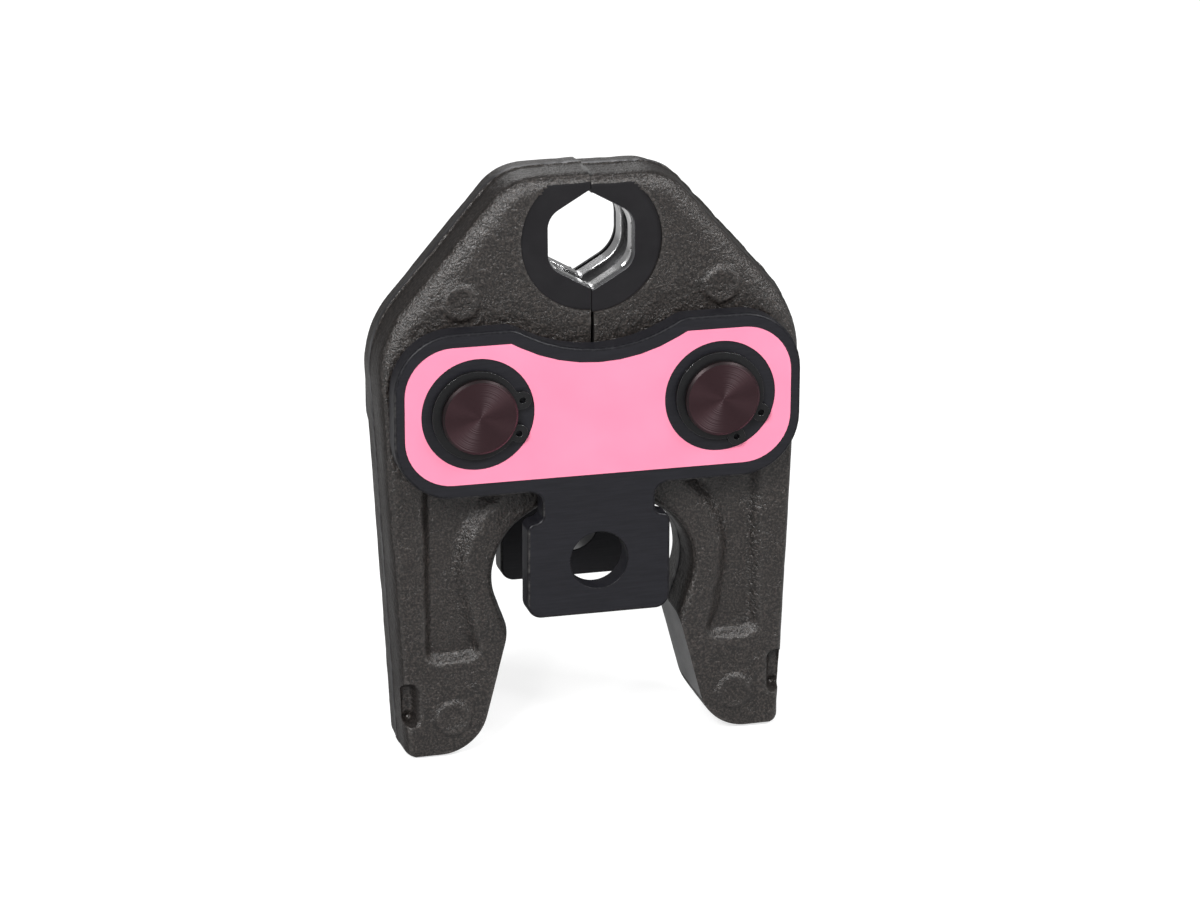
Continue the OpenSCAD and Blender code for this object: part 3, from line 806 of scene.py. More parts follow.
@dataclass
class MouthCutter:
    """Solid that cuts the pressing mouth out of both levers, front lip to back rim."""

    # Place and contour
    rise: float = 38.0
    across_flats: float = 20.4
    land_corner_r: float = 7.5
    lip_corner_r: float = 5.0
    tip_r: float = 1.5
    lip_relief: float = 0.3
    rim: float = 0.55
    rim_relief: float = 0.05
    # Steps from the front face to the back face
    front_lip: float = 2.2
    front_land: float = 3.3
    bead_w: float = 6.2
    bead_r: float = 12.5
    back_land: float = 4.4
    back_groove_w: float = 2.0
    back_groove_r: float = 12.1
    # Broken edges and how far the cutter runs past the forging
    edge_break: float = 0.2
    flare: float = 0.3
    skin: float = 0.05
    reach: float = 2.0
    bevel_share: float = 0.55
    spacing: float = 0.4
    samples: int = 200

    def _radii(self, side_r: float, grow: float) -> np.ndarray:
        """Gives the six-sided contour as radii at even angles.

        Args:
            side_r: Radius in the contour's four side corners.
            grow: Distance by which the contour is larger than the lands.

        Returns:
            One radius for each sample angle.
        """
        reach = self.across_flats / 2 / math.cos(math.radians(30))
        corners = []
        for turn in range(-90, 211, 60):
            radius = self.tip_r if abs(turn) == 90 else side_r
            angle = math.radians(turn)
            corners.append(Corner(reach * math.cos(angle), reach * math.sin(angle), radius))
        loop = Outline(corners, self.spacing).points(-grow)
        angles = np.arctan2(loop[:, 1], loop[:, 0]) % (2 * np.pi)
        order = np.argsort(angles)
        return np.interp(self._angles(), angles[order], np.hypot(*loop[order].T), period=2 * np.pi)

    def _angles(self) -> np.ndarray:
        """Gives the even sample angles."""
        return np.linspace(0, 2 * np.pi, self.samples, endpoint=False)

    def _stations(self, face: float, rough: float) -> list[tuple[float, np.ndarray, int]]:
        """Gives the cutter's sections from front to back.

        Args:
            face: Height of the machined faces above the middle plane.
            rough: Height of the forged faces above the middle plane.

        Returns:
            Depth, radii and number of the finish of the strip that ends there.
        """
        y1 = -face + self.front_lip
        y2 = y1 + self.front_land
        y3 = y2 + self.bead_w
        y4 = y3 + self.back_land
        y5 = y4 + self.back_groove_w
        b = self.edge_break
        mouth = self._radii(self.lip_corner_r, self.lip_relief)
        lip = self._radii(self.lip_corner_r, self.rim_relief)
        tail = self._radii(self.land_corner_r, self.lip_relief)
        land = self._radii(self.land_corner_r, 0.0)
        bead = np.full(self.samples, self.bead_r)
        groove = np.full(self.samples, self.back_groove_r)
        bevel = mouth * (1 - self.bevel_share) + lip * self.bevel_share
        return [
            (-rough - self.reach, mouth + self.reach, 0), (-face - self.skin, mouth + self.flare, 0),
            (-face, mouth, 0), (-face + self.rim / 4, bevel, 3), (-face + self.rim, lip, 3),
            (y1 - b, lip, 0), (y1, np.maximum(land + b / 2, lip), 1), (y1 + b, land, 1),
            (y2 - b, land, 1), (y2, land + b, 1), (y2 + b / 4, bead, 2), (y3 - b / 4, bead, 2),
            (y3, land + b, 1), (y3 + b, land, 1), (y4 - b, land, 1), (y4, land + b, 1),
            (y4 + b / 4, groove, 2), (y5 - b / 4, groove, 2), (y5, tail, 0), (face - b, tail, 0),
            (face, tail + b, 3), (face + self.skin, tail + b + self.flare, 0),
            (rough + self.reach, tail + self.reach, 0),
        ]

    def solid(self, face: float, rough: float) -> bpy.types.Object:
        """Builds the cutter.

        Args:
            face: Height of the machined faces above the middle plane.
            rough: Height of the forged faces above the middle plane.

        Returns:
            An object whose material numbers are 0 lip, 1 land, 2 groove, painted dark as its shade, and 3
            rim.
        """
        stations = self._stations(face, rough)
        cos, sin = np.cos(self._angles()), np.sin(self._angles())
        rows = [at_depth(np.stack([r * cos, r * sin + self.rise], 1), y) for y, r, _ in stations]
        count = self.samples
        total = count * len(stations)
        faces = joined_rings(len(stations), count)
        faces += [list(range(count)), list(range(total - count, total))]
        numbers = [number for _, _, number in stations[1:] for _ in range(count)] + [0, 0]
        mesh = make_mesh("mouth_cutter", np.concatenate(rows), faces)
        mesh.polygons.foreach_set("material_index", numbers)
        return bpy.data.objects.new("mouth_cutter", mesh)


@dataclass
class LeverForging:
    """A forged lever, worked out as the right one about the pin line, then swung and lifted."""

    # Corners whose edges keep the forged skin: hollow, outer side, elbow and shoulder
    FORGED_EDGES = (0, 1, 4, 5, 6)
    # Points over which the unevenness fades at the end of a forged stretch
    FADE_POINTS = 6
    # How finely the caps are drawn
    PAD_POINTS = 96
    RING_POINTS = 240
    ROW_STEP = 0.866
    PITCH_SHARE = 1.05
    # Parts of the normal that make a face steep, on the roller track or turned to the gap
    STEEP = 0.5
    ON_TRACK = 0.995
    GAP_SIDE = -0.2

    # Pin, bore and machined faces
    pin_x: float = 29.25
    pin_rise: float = 38.5
    swing_deg: float = 0.55
    bore_r: float = 9.05
    hub_h: float = 10.4
    face_h: float = 10.1
    faced_h: float = 9.6
    faced_r: float = 16.9
    hub_r: float = 15.75
    # Gap between the levers
    parting: float = 0.1
    relief: float = 0.3
    # Outline from the top down the outer side to the foot
    top: float = 54.5
    shoulder_x: float = 19.6
    shoulder_slope: float = 48.9
    shoulder_r: float = 15.0
    elbow_r: float = 25.0
    out: float = 21.85
    side_lean: float = 2.77
    foot: float = 87.4
    foot_outer_r: float = 2.5
    foot_inner_r: float = 12.0
    # Outline from the nose up the hollow to the gap
    nose_in: float = 8.05
    nose_drop: float = 55.6
    nose_r: float = 2.0
    track_lean: float = 13.9
    hollow_r: float = 18.0
    hollow_in: float = 0.3
    hollow_drop: float = 35.6
    tip_in: float = 21.9
    tip_drop: float = 20.4
    tip_r: float = 2.2
    lean_z: float = 3.0
    lean_r: float = 6.0
    # How the outline moves with the draft
    hollow_share: float = 0.5
    hollow_out: float = 1.5
    tip_on: float = 5.2
    nose_out: float = 0.4
    side_share: float = 0.4
    shoulder_share: float = 1.35
    foot_share: float = 0.12
    top_share: float = 1.0
    # Flash line, draft and rounding of the sides
    flash_h: float = 0.3
    flash_w: float = 1.8
    flash_edge: float = 0.1
    draft_deg: float = 5.0
    edge_r: float = 4.0
    spacing: float = 0.6
    # Seat of the closing spring
    spring_drop: float = 12.0
    spring_seat_r: float = 4.5
    spring_seat_x: float = 14.15
    cutter_reach: float = 3.0
    # Sunk panel in the arm
    panel_depth: float = 2.2
    panel_rim: float = 2.7
    panel_side: float = 6.55
    panel_foot: float = 64.0
    panel_foot_rim: float = 1.4
    panel_foot_rise: float = 0.6
    panel_head: float = 12.0
    panel_head_x: float = 12.5
    panel_r: float = 3.4
    # Widths of the panel's walls
    wall: float = 2.1
    soft_wall: float = 3.2
    inner_wall: float = 3.7
    inner_from: tuple[float, float] = (3.0, 8.0)
    inner_above: tuple[float, float] = (2.5, 8.0)
    wall_lip: float = 0.5
    # Grip pocket and its dimples
    pocket_h: float = 10.8
    pocket_drop: float = 68.3
    pocket_w: float = 4.5
    pocket_depth: float = 3.4
    pocket_fade: float = 0.6
    pocket_fade_x: tuple[float, float] = (3.2, 5.4)
    pocket_over: float = 0.7
    pocket_out: float = 3.0
    pocket_r: float = 2.2
    pocket_wall: tuple[float, float] = (-0.9, 1.6)
    dimple_in: float = 2.0
    dimple_r: float = 1.3
    dimple_depth: float = 1.0
    # Round pads
    mark_r: float = 4.6
    mark_h: float = 0.62
    mark_edge: tuple[float, float] = (-1.0, 0.5)
    dish_share: float = 0.4
    dish_from: float = 0.3
    dish_edge: float = 0.8
    mark_up: tuple[float, float] = (2.2, 25.2)
    mark_down: tuple[float, float] = (5.7, -77.8)
    # Unevenness of the skin as seed, wavelength and height
    face_slow: tuple[int, float, float] = (7, 7.0, 0.09)
    face_quick: tuple[int, float, float] = (17, 2.2, 0.04)
    side_slow: tuple[int, float, float] = (31, 9.0, 0.06)
    side_quick: tuple[int, float, float] = (43, 2.6, 0.02)
    flash_rough: float = 0.09
    side_least: float = 0.05
    # Tolerances and fineness of the mesh
    level_skin: float = 0.02
    loop_step: float = 0.4
    seam: float = 0.06
    edge_clear: float = 0.08
    line_clear: float = 0.22
    same_point: float = 1e-5
    merge: float = 0.01
    track_over: float = 3.0
    gap_over: float = 0.1
    hub_skin: float = 0.05
    smooth_deg: float = 44.0
    normal_weight: int = 90
    mouth: MouthCutter = field(default_factory=MouthCutter)

    def __post_init__(self) -> None:
        """Works out the points that several shapes share."""
        self.nose = np.array([self.pin_x - self.nose_in, -self.nose_drop])
        self.hollow = np.array([self.pin_x - self.hollow_in, -self.hollow_drop])
        self.tip = np.array([self.pin_x - self.tip_in, -self.tip_drop])
        reach = self.pin_x + self.out - self.shoulder_x
        fall = tan_deg(self.shoulder_slope)
        self.elbow_z = (self.top - reach * fall) / (1 + tan_deg(self.side_lean) * fall)
        self.contact_z = self.mouth.rise - self.faced_r
        step_x = self.parting + self.relief
        lean = self.tip - np.array([step_x, self.lean_z])
        tip = self.tip + self.tip_on * lean / np.linalg.norm(lean)
        bend = self._inside(-self.hollow_out)
        self.body = Outline(
            [
                Corner(*tip, self.tip_r, self.hollow_share),
                Corner(*bend, self.hollow_r - self.hollow_out, self.hollow_share),
                Corner(self.nose[0] - self.nose_out, self.nose[1], self.nose_r, 0),
                Corner(self._track_x(self.foot), -self.foot, self.foot_inner_r, self.foot_share),
                Corner(self._side_x(-self.foot), -self.foot, self.foot_outer_r, self.side_share),
                Corner(self._side_x(self.elbow_z), self.elbow_z, self.elbow_r, self.shoulder_share),
                Corner(self.shoulder_x, self.top, self.shoulder_r, self.top_share),
                Corner(self.parting, self.top, 0, 0),
                Corner(self.parting, self.contact_z, 0, 0),
                Corner(step_x, self.contact_z - self.relief, 0, 0),
                Corner(step_x, self.lean_z, self.lean_r, 0),
            ],
            self.spacing,
        )
        self.panel = self._panel()

    def _side_x(self, z: float) -> float:
        """Gives the X of the arm's outer edge at a height."""
        return self.pin_x + self.out + z * tan_deg(self.side_lean)

    def _track_x(self, drop: float) -> float:
        """Gives the X of the roller track at a depth below the pins."""
        return self.nose[0] + (drop - self.nose_drop) * tan_deg(self.track_lean)

    def _inside(self, inset: float) -> np.ndarray:
        """Gives the hollow's corner after both its edges have moved.

        Args:
            inset: Distance by which they move into the arm.

        Returns:
            The corner as x and z.
        """
        upper = (self.hollow - self.tip) / np.linalg.norm(self.hollow - self.tip)
        lower = (self.nose - self.hollow) / np.linalg.norm(self.nose - self.hollow)
        turn = abs(upper[0] * lower[1] - upper[1] * lower[0])
        return self.hollow + inset * (upper - lower) / turn

    def _panel_x(self) -> float:
        """Gives the X of the panel's outer edge."""
        return self._side_x(-self.panel_foot) - self.panel_side

    def _panel(self) -> Outline:
        """Works out the recess panel, a fixed rim inside the arm's outline.

        Returns:
            The panel's outline at the lever's face.
        """
        bend = self._inside(self.panel_rim)
        foot_x = self._track_x(self.panel_foot) + self.panel_rim + self.panel_foot_rim
        out_x = self._panel_x()
        return Outline(
            [
                Corner(foot_x, -self.panel_foot + self.panel_foot_rise, self.panel_r),
                Corner(out_x, -self.panel_foot, self.panel_r),
                Corner(out_x, -self.panel_head, self.panel_r),
                Corner(self.panel_head_x, -self.panel_head, self.panel_r),
                Corner(*bend, self.hollow_r + self.panel_rim),
            ],
            self.spacing,
        )

    def _section(self) -> list[tuple[float, float]]:
        """Gives the forged side from the middle plane to the face.

        Returns:
            Pairs of height and inset.
        """
        half = self.flash_w / 2
        foot = half + self.flash_h
        flat = self.face_h - self.edge_r
        rise = tan_deg(self.draft_deg)
        drawn = self.flash_h + (flat - half) * rise
        edge = self.flash_edge
        section = [(0.0, 0.0), (half - edge, 0.0), (half, edge * 0.6), (foot, self.flash_h)]
        for y in np.linspace(foot, flat, 5)[1:-1]:
            section.append((float(y), self.flash_h + (float(y) - half) * rise))
        section.append((flat, drawn))
        for a in np.radians(np.arange(10, 91, 10)):
            inset = drawn + self.edge_r * (1 - math.cos(a))
            section.append((flat + self.edge_r * math.sin(a), inset))
        return section

    def _pocket_loop(self) -> np.ndarray:
        """Gives the outline of the grip pocket in the foot's outer edge.

        Returns:
            Rows of x and z.
        """
        x0 = self._pocket_x()
        x1 = x0 + self.pocket_w + self.pocket_out
        z1 = -self.pocket_drop
        z0 = z1 - self.pocket_h
        corners = [Corner(x, z, self.pocket_r) for x, z in ((x0, z0), (x1, z0), (x1, z1), (x0, z1))]
        return Outline(corners, 1.0).points()

    def _pocket_x(self) -> float:
        """Gives the X of the grip pocket's inner edge."""
        return self._side_x(-self.pocket_drop) - self.pocket_w

    def _panel_drop(self, flat: np.ndarray, soft_face: np.ndarray) -> np.ndarray:
        """Gives how far the sunk panel lies below the face, by way of its walls.

        Args:
            flat: Rows of x and z.
            soft_face: Which points are on the face whose outer wall is soft.

        Returns:
            One drop for each point.
        """
        outer = np.abs(flat[:, 0] - self._panel_x())
        near_outer = ramp(self.soft_wall * 1.5 - outer, 0, self.soft_wall)
        wall = np.where(soft_face, self.wall + (self.soft_wall - self.wall) * near_outer, self.wall)
        near_inner = ramp(outer, *self.inner_from) * ramp(flat[:, 1] + self.panel_foot, *self.inner_above)
        wall = wall + (self.inner_wall - self.wall) * near_inner
        depth = signed_depth(flat, self.panel.points())
        return self.panel_depth * ramp((depth + self.wall_lip) / (wall + self.wall_lip), 0, 1)

    def _pad_rise(self, flat: np.ndarray, pad: tuple[float, float]) -> np.ndarray:
        """Gives how far a round pad stands above the face.

        Args:
            flat: Rows of x and z.
            pad: The pad's place from the pin.

        Returns:
            One rise for each point.
        """
        r = np.hypot(flat[:, 0] - self.pin_x - pad[0], flat[:, 1] - pad[1])
        crown = 1 - ramp(r, self.mark_r + self.mark_edge[0], self.mark_r + self.mark_edge[1])
        dish = 1 - ramp(r, self.mark_r * self.dish_from, self.mark_r - self.dish_edge)
        return self.mark_h * (crown - self.dish_share * dish)

    def _pocket_height(self, flat: np.ndarray) -> np.ndarray:
        """Gives the height of the grip pocket's floor and walls.

        Args:
            flat: Rows of x and z.

        Returns:
            One height for each point, infinite away from the pocket.
        """
        inside = signed_depth(flat, self._pocket_loop())
        x0 = self._pocket_x()
        deep = self.pocket_depth * (1 - self.pocket_fade * ramp(flat[:, 0] - x0, *self.pocket_fade_x))
        over = self.pocket_over
        floor = self.face_h + over - (deep + over) * ramp(inside, *self.pocket_wall)
        low = -self.pocket_drop - self.pocket_h
        hole = np.hypot(flat[:, 0] - x0 - self.dimple_in, flat[:, 1] - low - self.dimple_r)
        floor = floor - self.dimple_depth * (1 - ramp(hole, self.dimple_r * 0.1, self.dimple_r * 1.5))
        return np.where(inside > self.pocket_wall[0], floor, np.inf)

    def _shaped(self, points: np.ndarray, side: Side) -> np.ndarray:
        """Presses panels, marks, pockets and machined faces into points of the plain forging.

        Args:
            points: Rows of x, y and z of the plain forging.
            side: Which lever is made: the two dies differ, so each lever shows the other face.

        Returns:
            The moved points.
        """
        flat = points[:, [0, 2]]
        sign = np.sign(points[:, 1])
        height = np.abs(points[:, 1])
        on_face = height > self.face_h - self.level_skin
        machined = np.hypot(flat[:, 0] - self.pin_x, flat[:, 1]) < self.hub_r
        height = height - np.where(on_face, self._panel_drop(flat, sign * side.value < 0), 0)
        for pad in (self.mark_up, self.mark_down):
            height = height + np.where(on_face, self._pad_rise(flat, pad), 0)
        skin = uneven(self.face_slow, side, points) + uneven(self.face_quick, side, points)
        height = height + np.where(on_face & ~machined, skin, 0)
        height = np.where(on_face & machined, self.hub_h, height)
        height = np.minimum(height, self._pocket_height(flat))
        faced = np.hypot(flat[:, 0], flat[:, 1] - self.mouth.rise) < self.faced_r + 0.01
        height = np.where(faced, np.minimum(height, self.faced_h), height)
        return np.stack([points[:, 0], sign * height, points[:, 2]], 1)

    def _cap(self, boundary: np.ndarray) -> tuple[np.ndarray, list]:
        """Fills a face with triangles that follow the shapes pressed into it.

        Args:
            boundary: Rows of x and z round the face.

        Returns:
            Points as rows of x and z, and the triangles.
        """
        loops = self._cap_loops()
        points = [boundary]
        count = len(boundary)
        edges = [(i, (i + 1) % count) for i in range(count)]
        for loop in loops:
            keep = signed_depth(loop, boundary) > self.edge_clear
            numbers = np.full(len(loop), -1)
            numbers[keep] = count + np.arange(keep.sum())
            following = np.roll(numbers, -1)
            edges += [(int(a), int(b)) for a, b in zip(numbers, following) if a >= 0 and b >= 0]
            points.append(loop[keep])
            count += int(keep.sum())
        fixed = np.concatenate(points)
        lattice = self._lattice(boundary, loops)
        everything = np.concatenate([fixed, lattice])
        found = delaunay_2d_cdt([Vector(p) for p in everything.tolist()], edges, [], 1, self.same_point)
        return np.array([tuple(p) for p in found[0]]), found[2]

    def _cap_loops(self) -> list[np.ndarray]:
        """Gives the lines that the triangles of a face follow: walls of the panel, pads, facing and hub.

        Returns:
            Closed loops as rows of x and z.
        """
        step = self.loop_step
        loops = [self.panel.points(step * k) for k in range(-2, 7)]
        first = self.mark_r + self.mark_edge[0]
        for out, up in (self.mark_up, self.mark_down):
            loops += [circle(self.pin_x + out, up, first + step * k, self.PAD_POINTS) for k in range(5)]
        for r in (self.faced_r, self.faced_r + self.seam):
            loops.append(circle(0, self.mouth.rise, r, self.RING_POINTS))
        for r in (self.hub_r - self.level_skin, self.hub_r + self.seam):
            loops.append(circle(self.pin_x, 0, r, self.RING_POINTS))
        return loops

    def _lattice(self, boundary: np.ndarray, loops: list[np.ndarray]) -> np.ndarray:
        """Gives even points inside a face, clear of its lines.

        Args:
            boundary: Rows of x and z round the face.
            loops: The lines that the points keep clear of.

        Returns:
            Rows of x and z.
        """
        low, high = boundary.min(0), boundary.max(0)
        pitch = self.spacing * self.PITCH_SHARE
        xs = np.arange(low[0], high[0], pitch)
        zs = np.arange(low[1], high[1], pitch * self.ROW_STEP)
        lattice = np.array([(x + (row % 2) * pitch / 2, z) for row, z in enumerate(zs) for x in xs])
        lattice = lattice[signed_depth(lattice, boundary) > pitch * 0.4]
        gap = np.min([np.abs(signed_depth(lattice, loop)) for loop in loops], axis=0)
        return lattice[gap > self.line_clear]

    def _plain(self, side: Side) -> bpy.types.Mesh:
        """Builds the forging without its bore, spring seat and mouth.

        Args:
            side: Which lever is made.

        Returns:
            The mesh, in the right lever's place.
        """
        section = self._section()
        full = [(-y, inset) for y, inset in reversed(section[1:])] + section
        rings = [at_depth(self.body.points(inset), y) for y, inset in full]
        count = len(rings[0])
        points = self._roughened(np.concatenate(rings), count, side)
        parts = [self._shaped(points, side)]
        faces = joined_rings(len(rings), count)
        total = len(points)
        for ring, y in ((points[:count], -self.face_h), (points[-count:], self.face_h)):
            flat, triangles = self._cap(ring[:, [0, 2]])
            parts.append(self._shaped(at_depth(flat, y), side))
            faces += [[total + i for i in t] for t in triangles]
            total += len(flat)
        return make_mesh("forging", np.concatenate(parts), faces, self.merge)

    def _roughened(self, points: np.ndarray, count: int, side: Side) -> np.ndarray:
        """Makes the forged sides slightly uneven, the trimmed flash most of all.

        Args:
            points: Rows of x, y and z, ring after ring.
            count: Number of points in a ring.
            side: Which lever is made.

        Returns:
            The points, moved inwards where the side is forged.
        """
        rings = len(points) // count
        moving = np.isin(self.body.edge_numbers(), self.FORGED_EDGES)
        ring = self.body.points()
        run = np.roll(ring, -1, axis=0) - np.roll(ring, 1, axis=0)
        run /= np.linalg.norm(run, axis=1)[:, None]
        outwards = np.tile(np.stack([run[:, 1], -run[:, 0]], 1), (rings, 1))
        reach = self.FADE_POINTS
        wrapped = np.concatenate([moving[-reach:], moving, moving[:reach]])
        window = 2 * reach + 1
        ends = np.convolve(wrapped, np.ones(window) / window, "valid")
        fade = np.tile(ramp(ends, 0.6, 1.0) * moving, rings)
        on_flash = np.abs(points[:, 1]) < self.flash_w / 2 + self.flash_edge / 2
        slow = uneven(self.side_slow, side, points)
        quick = uneven(self.side_quick, side, points * np.array([1, 0.2, 1]))
        quick = quick * np.where(on_flash, self.flash_rough / self.side_quick[2], 1)
        drop = np.minimum(slow + quick - self.flash_rough, -self.side_least) * fade
        moved = points.copy()
        moved[:, [0, 2]] += outwards * drop[:, None]
        return moved

    def _bar(self, name: str, r: float, start: Vector, end: Vector) -> bpy.types.Object:
        """Makes a round cutter between two points.

        Args:
            name: Name of the cutter.
            r: Its radius.
            start: One end of its axis.
            end: The other end.

        Returns:
            The cutter.
        """
        mesh = bpy.data.meshes.new(name)
        work = bmesh.new()
        axis = end - start
        turn = Vector((0, 0, 1)).rotation_difference(axis).to_matrix().to_4x4()
        bmesh.ops.create_cone(
            work, cap_ends=True, segments=128, radius1=r * MM, radius2=r * MM, depth=axis.length * MM,
            matrix=Matrix.Translation((start + end) / 2 * MM) @ turn,
        )
        work.to_mesh(mesh)
        work.free()
        return bpy.data.objects.new(name, mesh)

    def build(self, side: Side, materials: dict[str, bpy.types.Material]) -> bpy.types.Object:
        """Builds one lever and lets it stand for its CAD node.

        Args:
            side: Which lever is made.
            materials: The finishes by name.

        Returns:
            The finished lever.
        """
        order = [LIP, LAND, GROOVE_PAINTED_SHADE, RIM, FORGED, DRAWN, TRIMMED, FACED, BARE, PARTING]
        mesh = self._plain(side)
        body = Body.RIGHT_LEVER if side is Side.RIGHT else Body.LEFT_LEVER
        piece = place(f"{body.value}_forging", mesh, body, [materials[f.name] for f in order])
        self._dress(mesh, order)
        reach = self.cutter_reach
        y = Vector((0, self.face_h + reach, 0))
        pin = Vector((self.pin_x, 0, 0))
        seat = Vector((-reach, 0, -self.spring_drop))
        seat_end = seat + Vector((self.spring_seat_x + reach, 0, 0))
        cutters = [
            self._bar("bore_cutter", self.bore_r, pin - y, pin + y),
            self._bar("seat_cutter", self.spring_seat_r, seat, seat_end),
            self.mouth.solid(self.faced_h, self.face_h),
        ]
        bare = order.index(BARE)
        for cutter in cutters[:2]:
            cutter.data.polygons.foreach_set("material_index", [bare] * len(cutter.data.polygons))
        for cutter in cutters:
            for f in order:
                cutter.data.materials.append(materials[f.name])
            bpy.context.scene.collection.objects.link(cutter)
            cut = piece.modifiers.new(cutter.name, "BOOLEAN")
            cut.operation = "DIFFERENCE"
            cut.solver = "EXACT"
            cut.material_mode = "TRANSFER"
            cut.object = cutter
        settle(piece)
        for cutter in cutters:
            bpy.data.objects.remove(cutter)
        self._stand(piece.data, side)
        shade(piece, self.smooth_deg, self.normal_weight)
        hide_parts(body.value)
        return piece

    def _dress(self, mesh: bpy.types.Mesh, order: list[Finish]) -> None:
        """Gives each face of the plain forging its finish.

        Args:
            mesh: Mesh of the plain forging.
            order: Finishes in the order of the mesh's materials.
        """
        count = len(mesh.polygons)
        centre, normal = np.empty(count * 3), np.empty(count * 3)
        mesh.polygons.foreach_get("center", centre)
        mesh.polygons.foreach_get("normal", normal)
        x, y, z = centre.reshape(-1, 3).T / MM
        normal = normal.reshape(-1, 3)
        height = np.abs(y)
        steep = np.abs(normal[:, 1]) < self.STEEP
        flash = self.flash_w / 2 + self.flash_edge / 2
        gap_side = (normal[:, 0] < self.GAP_SIDE) & (height < self.flash_w)
        level = self.faced_h - self.level_skin * 1.5
        in_facing = (np.hypot(x, z - self.mouth.rise) < self.faced_r) & (height > level)
        on_hub = (np.hypot(x - self.pin_x, z) < self.hub_r) & (height > self.hub_h - self.hub_skin)
        lean = math.radians(self.track_lean)
        track = normal @ np.array([-math.cos(lean), 0, -math.sin(lean)]) > self.ON_TRACK
        numbers = np.full(count, order.index(FORGED))
        for faces, finish in (
            (steep, DRAWN), (steep & ((height < flash) | gap_side), TRIMMED), (in_facing & ~steep, FACED),
            (on_hub, FACED), (track & (z < self.track_over - self.nose_drop), BARE),
            (steep & (x < self.parting + self.relief + self.gap_over), PARTING),
        ):
            numbers[faces] = order.index(finish)
        mesh.polygons.foreach_set("material_index", numbers)

    def _stand(self, mesh: bpy.types.Mesh, side: Side) -> None:
        """Swings the lever about its pin, lifts it and mirrors the left one.

        Args:
            mesh: Mesh in the right lever's place, about the pin line.
            side: Which lever it is.
        """
        swing = math.radians(self.swing_deg) * side.value
        pin = Vector((self.pin_x * MM, 0, 0))
        turn = Matrix.Translation(pin) @ Matrix.Rotation(-swing, 4, "Y") @ Matrix.Translation(-pin)
        mesh.transform(Matrix.Translation((0, 0, self.pin_rise * MM)) @ turn)
        if side is Side.LEFT:
            mesh.transform(Matrix.Diagonal((-1, 1, 1, 1)))
            mesh.flip_normals()


@dataclass
class SoftenedPiece:
    """A CAD node whose edges are broken, shown in place of the plain node."""

    node: str
    slot: Slot
    edge: float
    face: Finish
    rim: Finish
    segments: int = 2
    sharp_deg: float = 40.0
    smooth_deg: float = 35.0
    same_point_m: float = 1e-6
    flat_deg: float = 0.3

    def build(self, materials: dict[str, bpy.types.Material]) -> bpy.types.Object:
        """Copies the node, breaks its edges and dresses it.

        Args:
            materials: The finishes by name.

        Returns:
            The piece that stands for the node.
        """
        mesh = bpy.data.objects[self.node].data.copy()
        work = bmesh.new()
        work.from_mesh(mesh)
        bmesh.ops.remove_doubles(work, verts=work.verts, dist=self.same_point_m)
        flat = math.radians(self.flat_deg)
        bmesh.ops.dissolve_limit(work, angle_limit=flat, verts=work.verts, edges=work.edges)
        work.to_mesh(mesh)
        work.free()
        mesh.polygons.foreach_set("material_index", [0] * len(mesh.polygons))
        finishes = [materials[self.face.name], materials[self.rim.name]]
        piece = place(f"{self.node}_edged", mesh, Body.FRAME, finishes)
        bevel = piece.modifiers.new("edge", "BEVEL")
        bevel.width = self.edge * MM
        bevel.segments = self.segments
        bevel.limit_method = "ANGLE"
        bevel.angle_limit = math.radians(self.sharp_deg)
        bevel.material = 1
        bevel.harden_normals = False
        settle(piece)
        shade(piece, self.smooth_deg)
        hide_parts(self.node)
        return piece


class PivotPins:
    """The two turned pins, whose CAD nodes are dressed as they are."""

    def build(self, shades: Shades, materials: dict[str, bpy.types.Material]) -> None:
        """Gives each pin its turned end faces, with their painted sheen, and its dark side.

        Args:
            shades: The shared node groups.
            materials: The finishes by name.
        """
        for side in Side:
            pin = bpy.data.objects[f"{side.name.lower()}_pin"]
            low, high = (Vector(v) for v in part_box(pin.name))
            centre = (low + high) / 2
            turned = TURNED_WITH_PAINTED_SHEEN.material(shades)
            turned.name = f"turned_{pin.name}"
            # The turning rings and the painted sheen centre on the pin's axis.
            for node in turned.node_tree.nodes:
                if node.type == "GROUP" and node.node_tree == shades.turning:
                    node.inputs["Centre X"].default_value = centre.x
                    node.inputs["Centre Z"].default_value = centre.z
            pin.data.materials.clear()
            pin.data.materials.append(turned)
            pin.data.materials.append(materials[PIN_EDGE.name])
            for face in pin.data.polygons:
                face.material_index = 0 if abs(face.normal.y) > 0.9 else 1


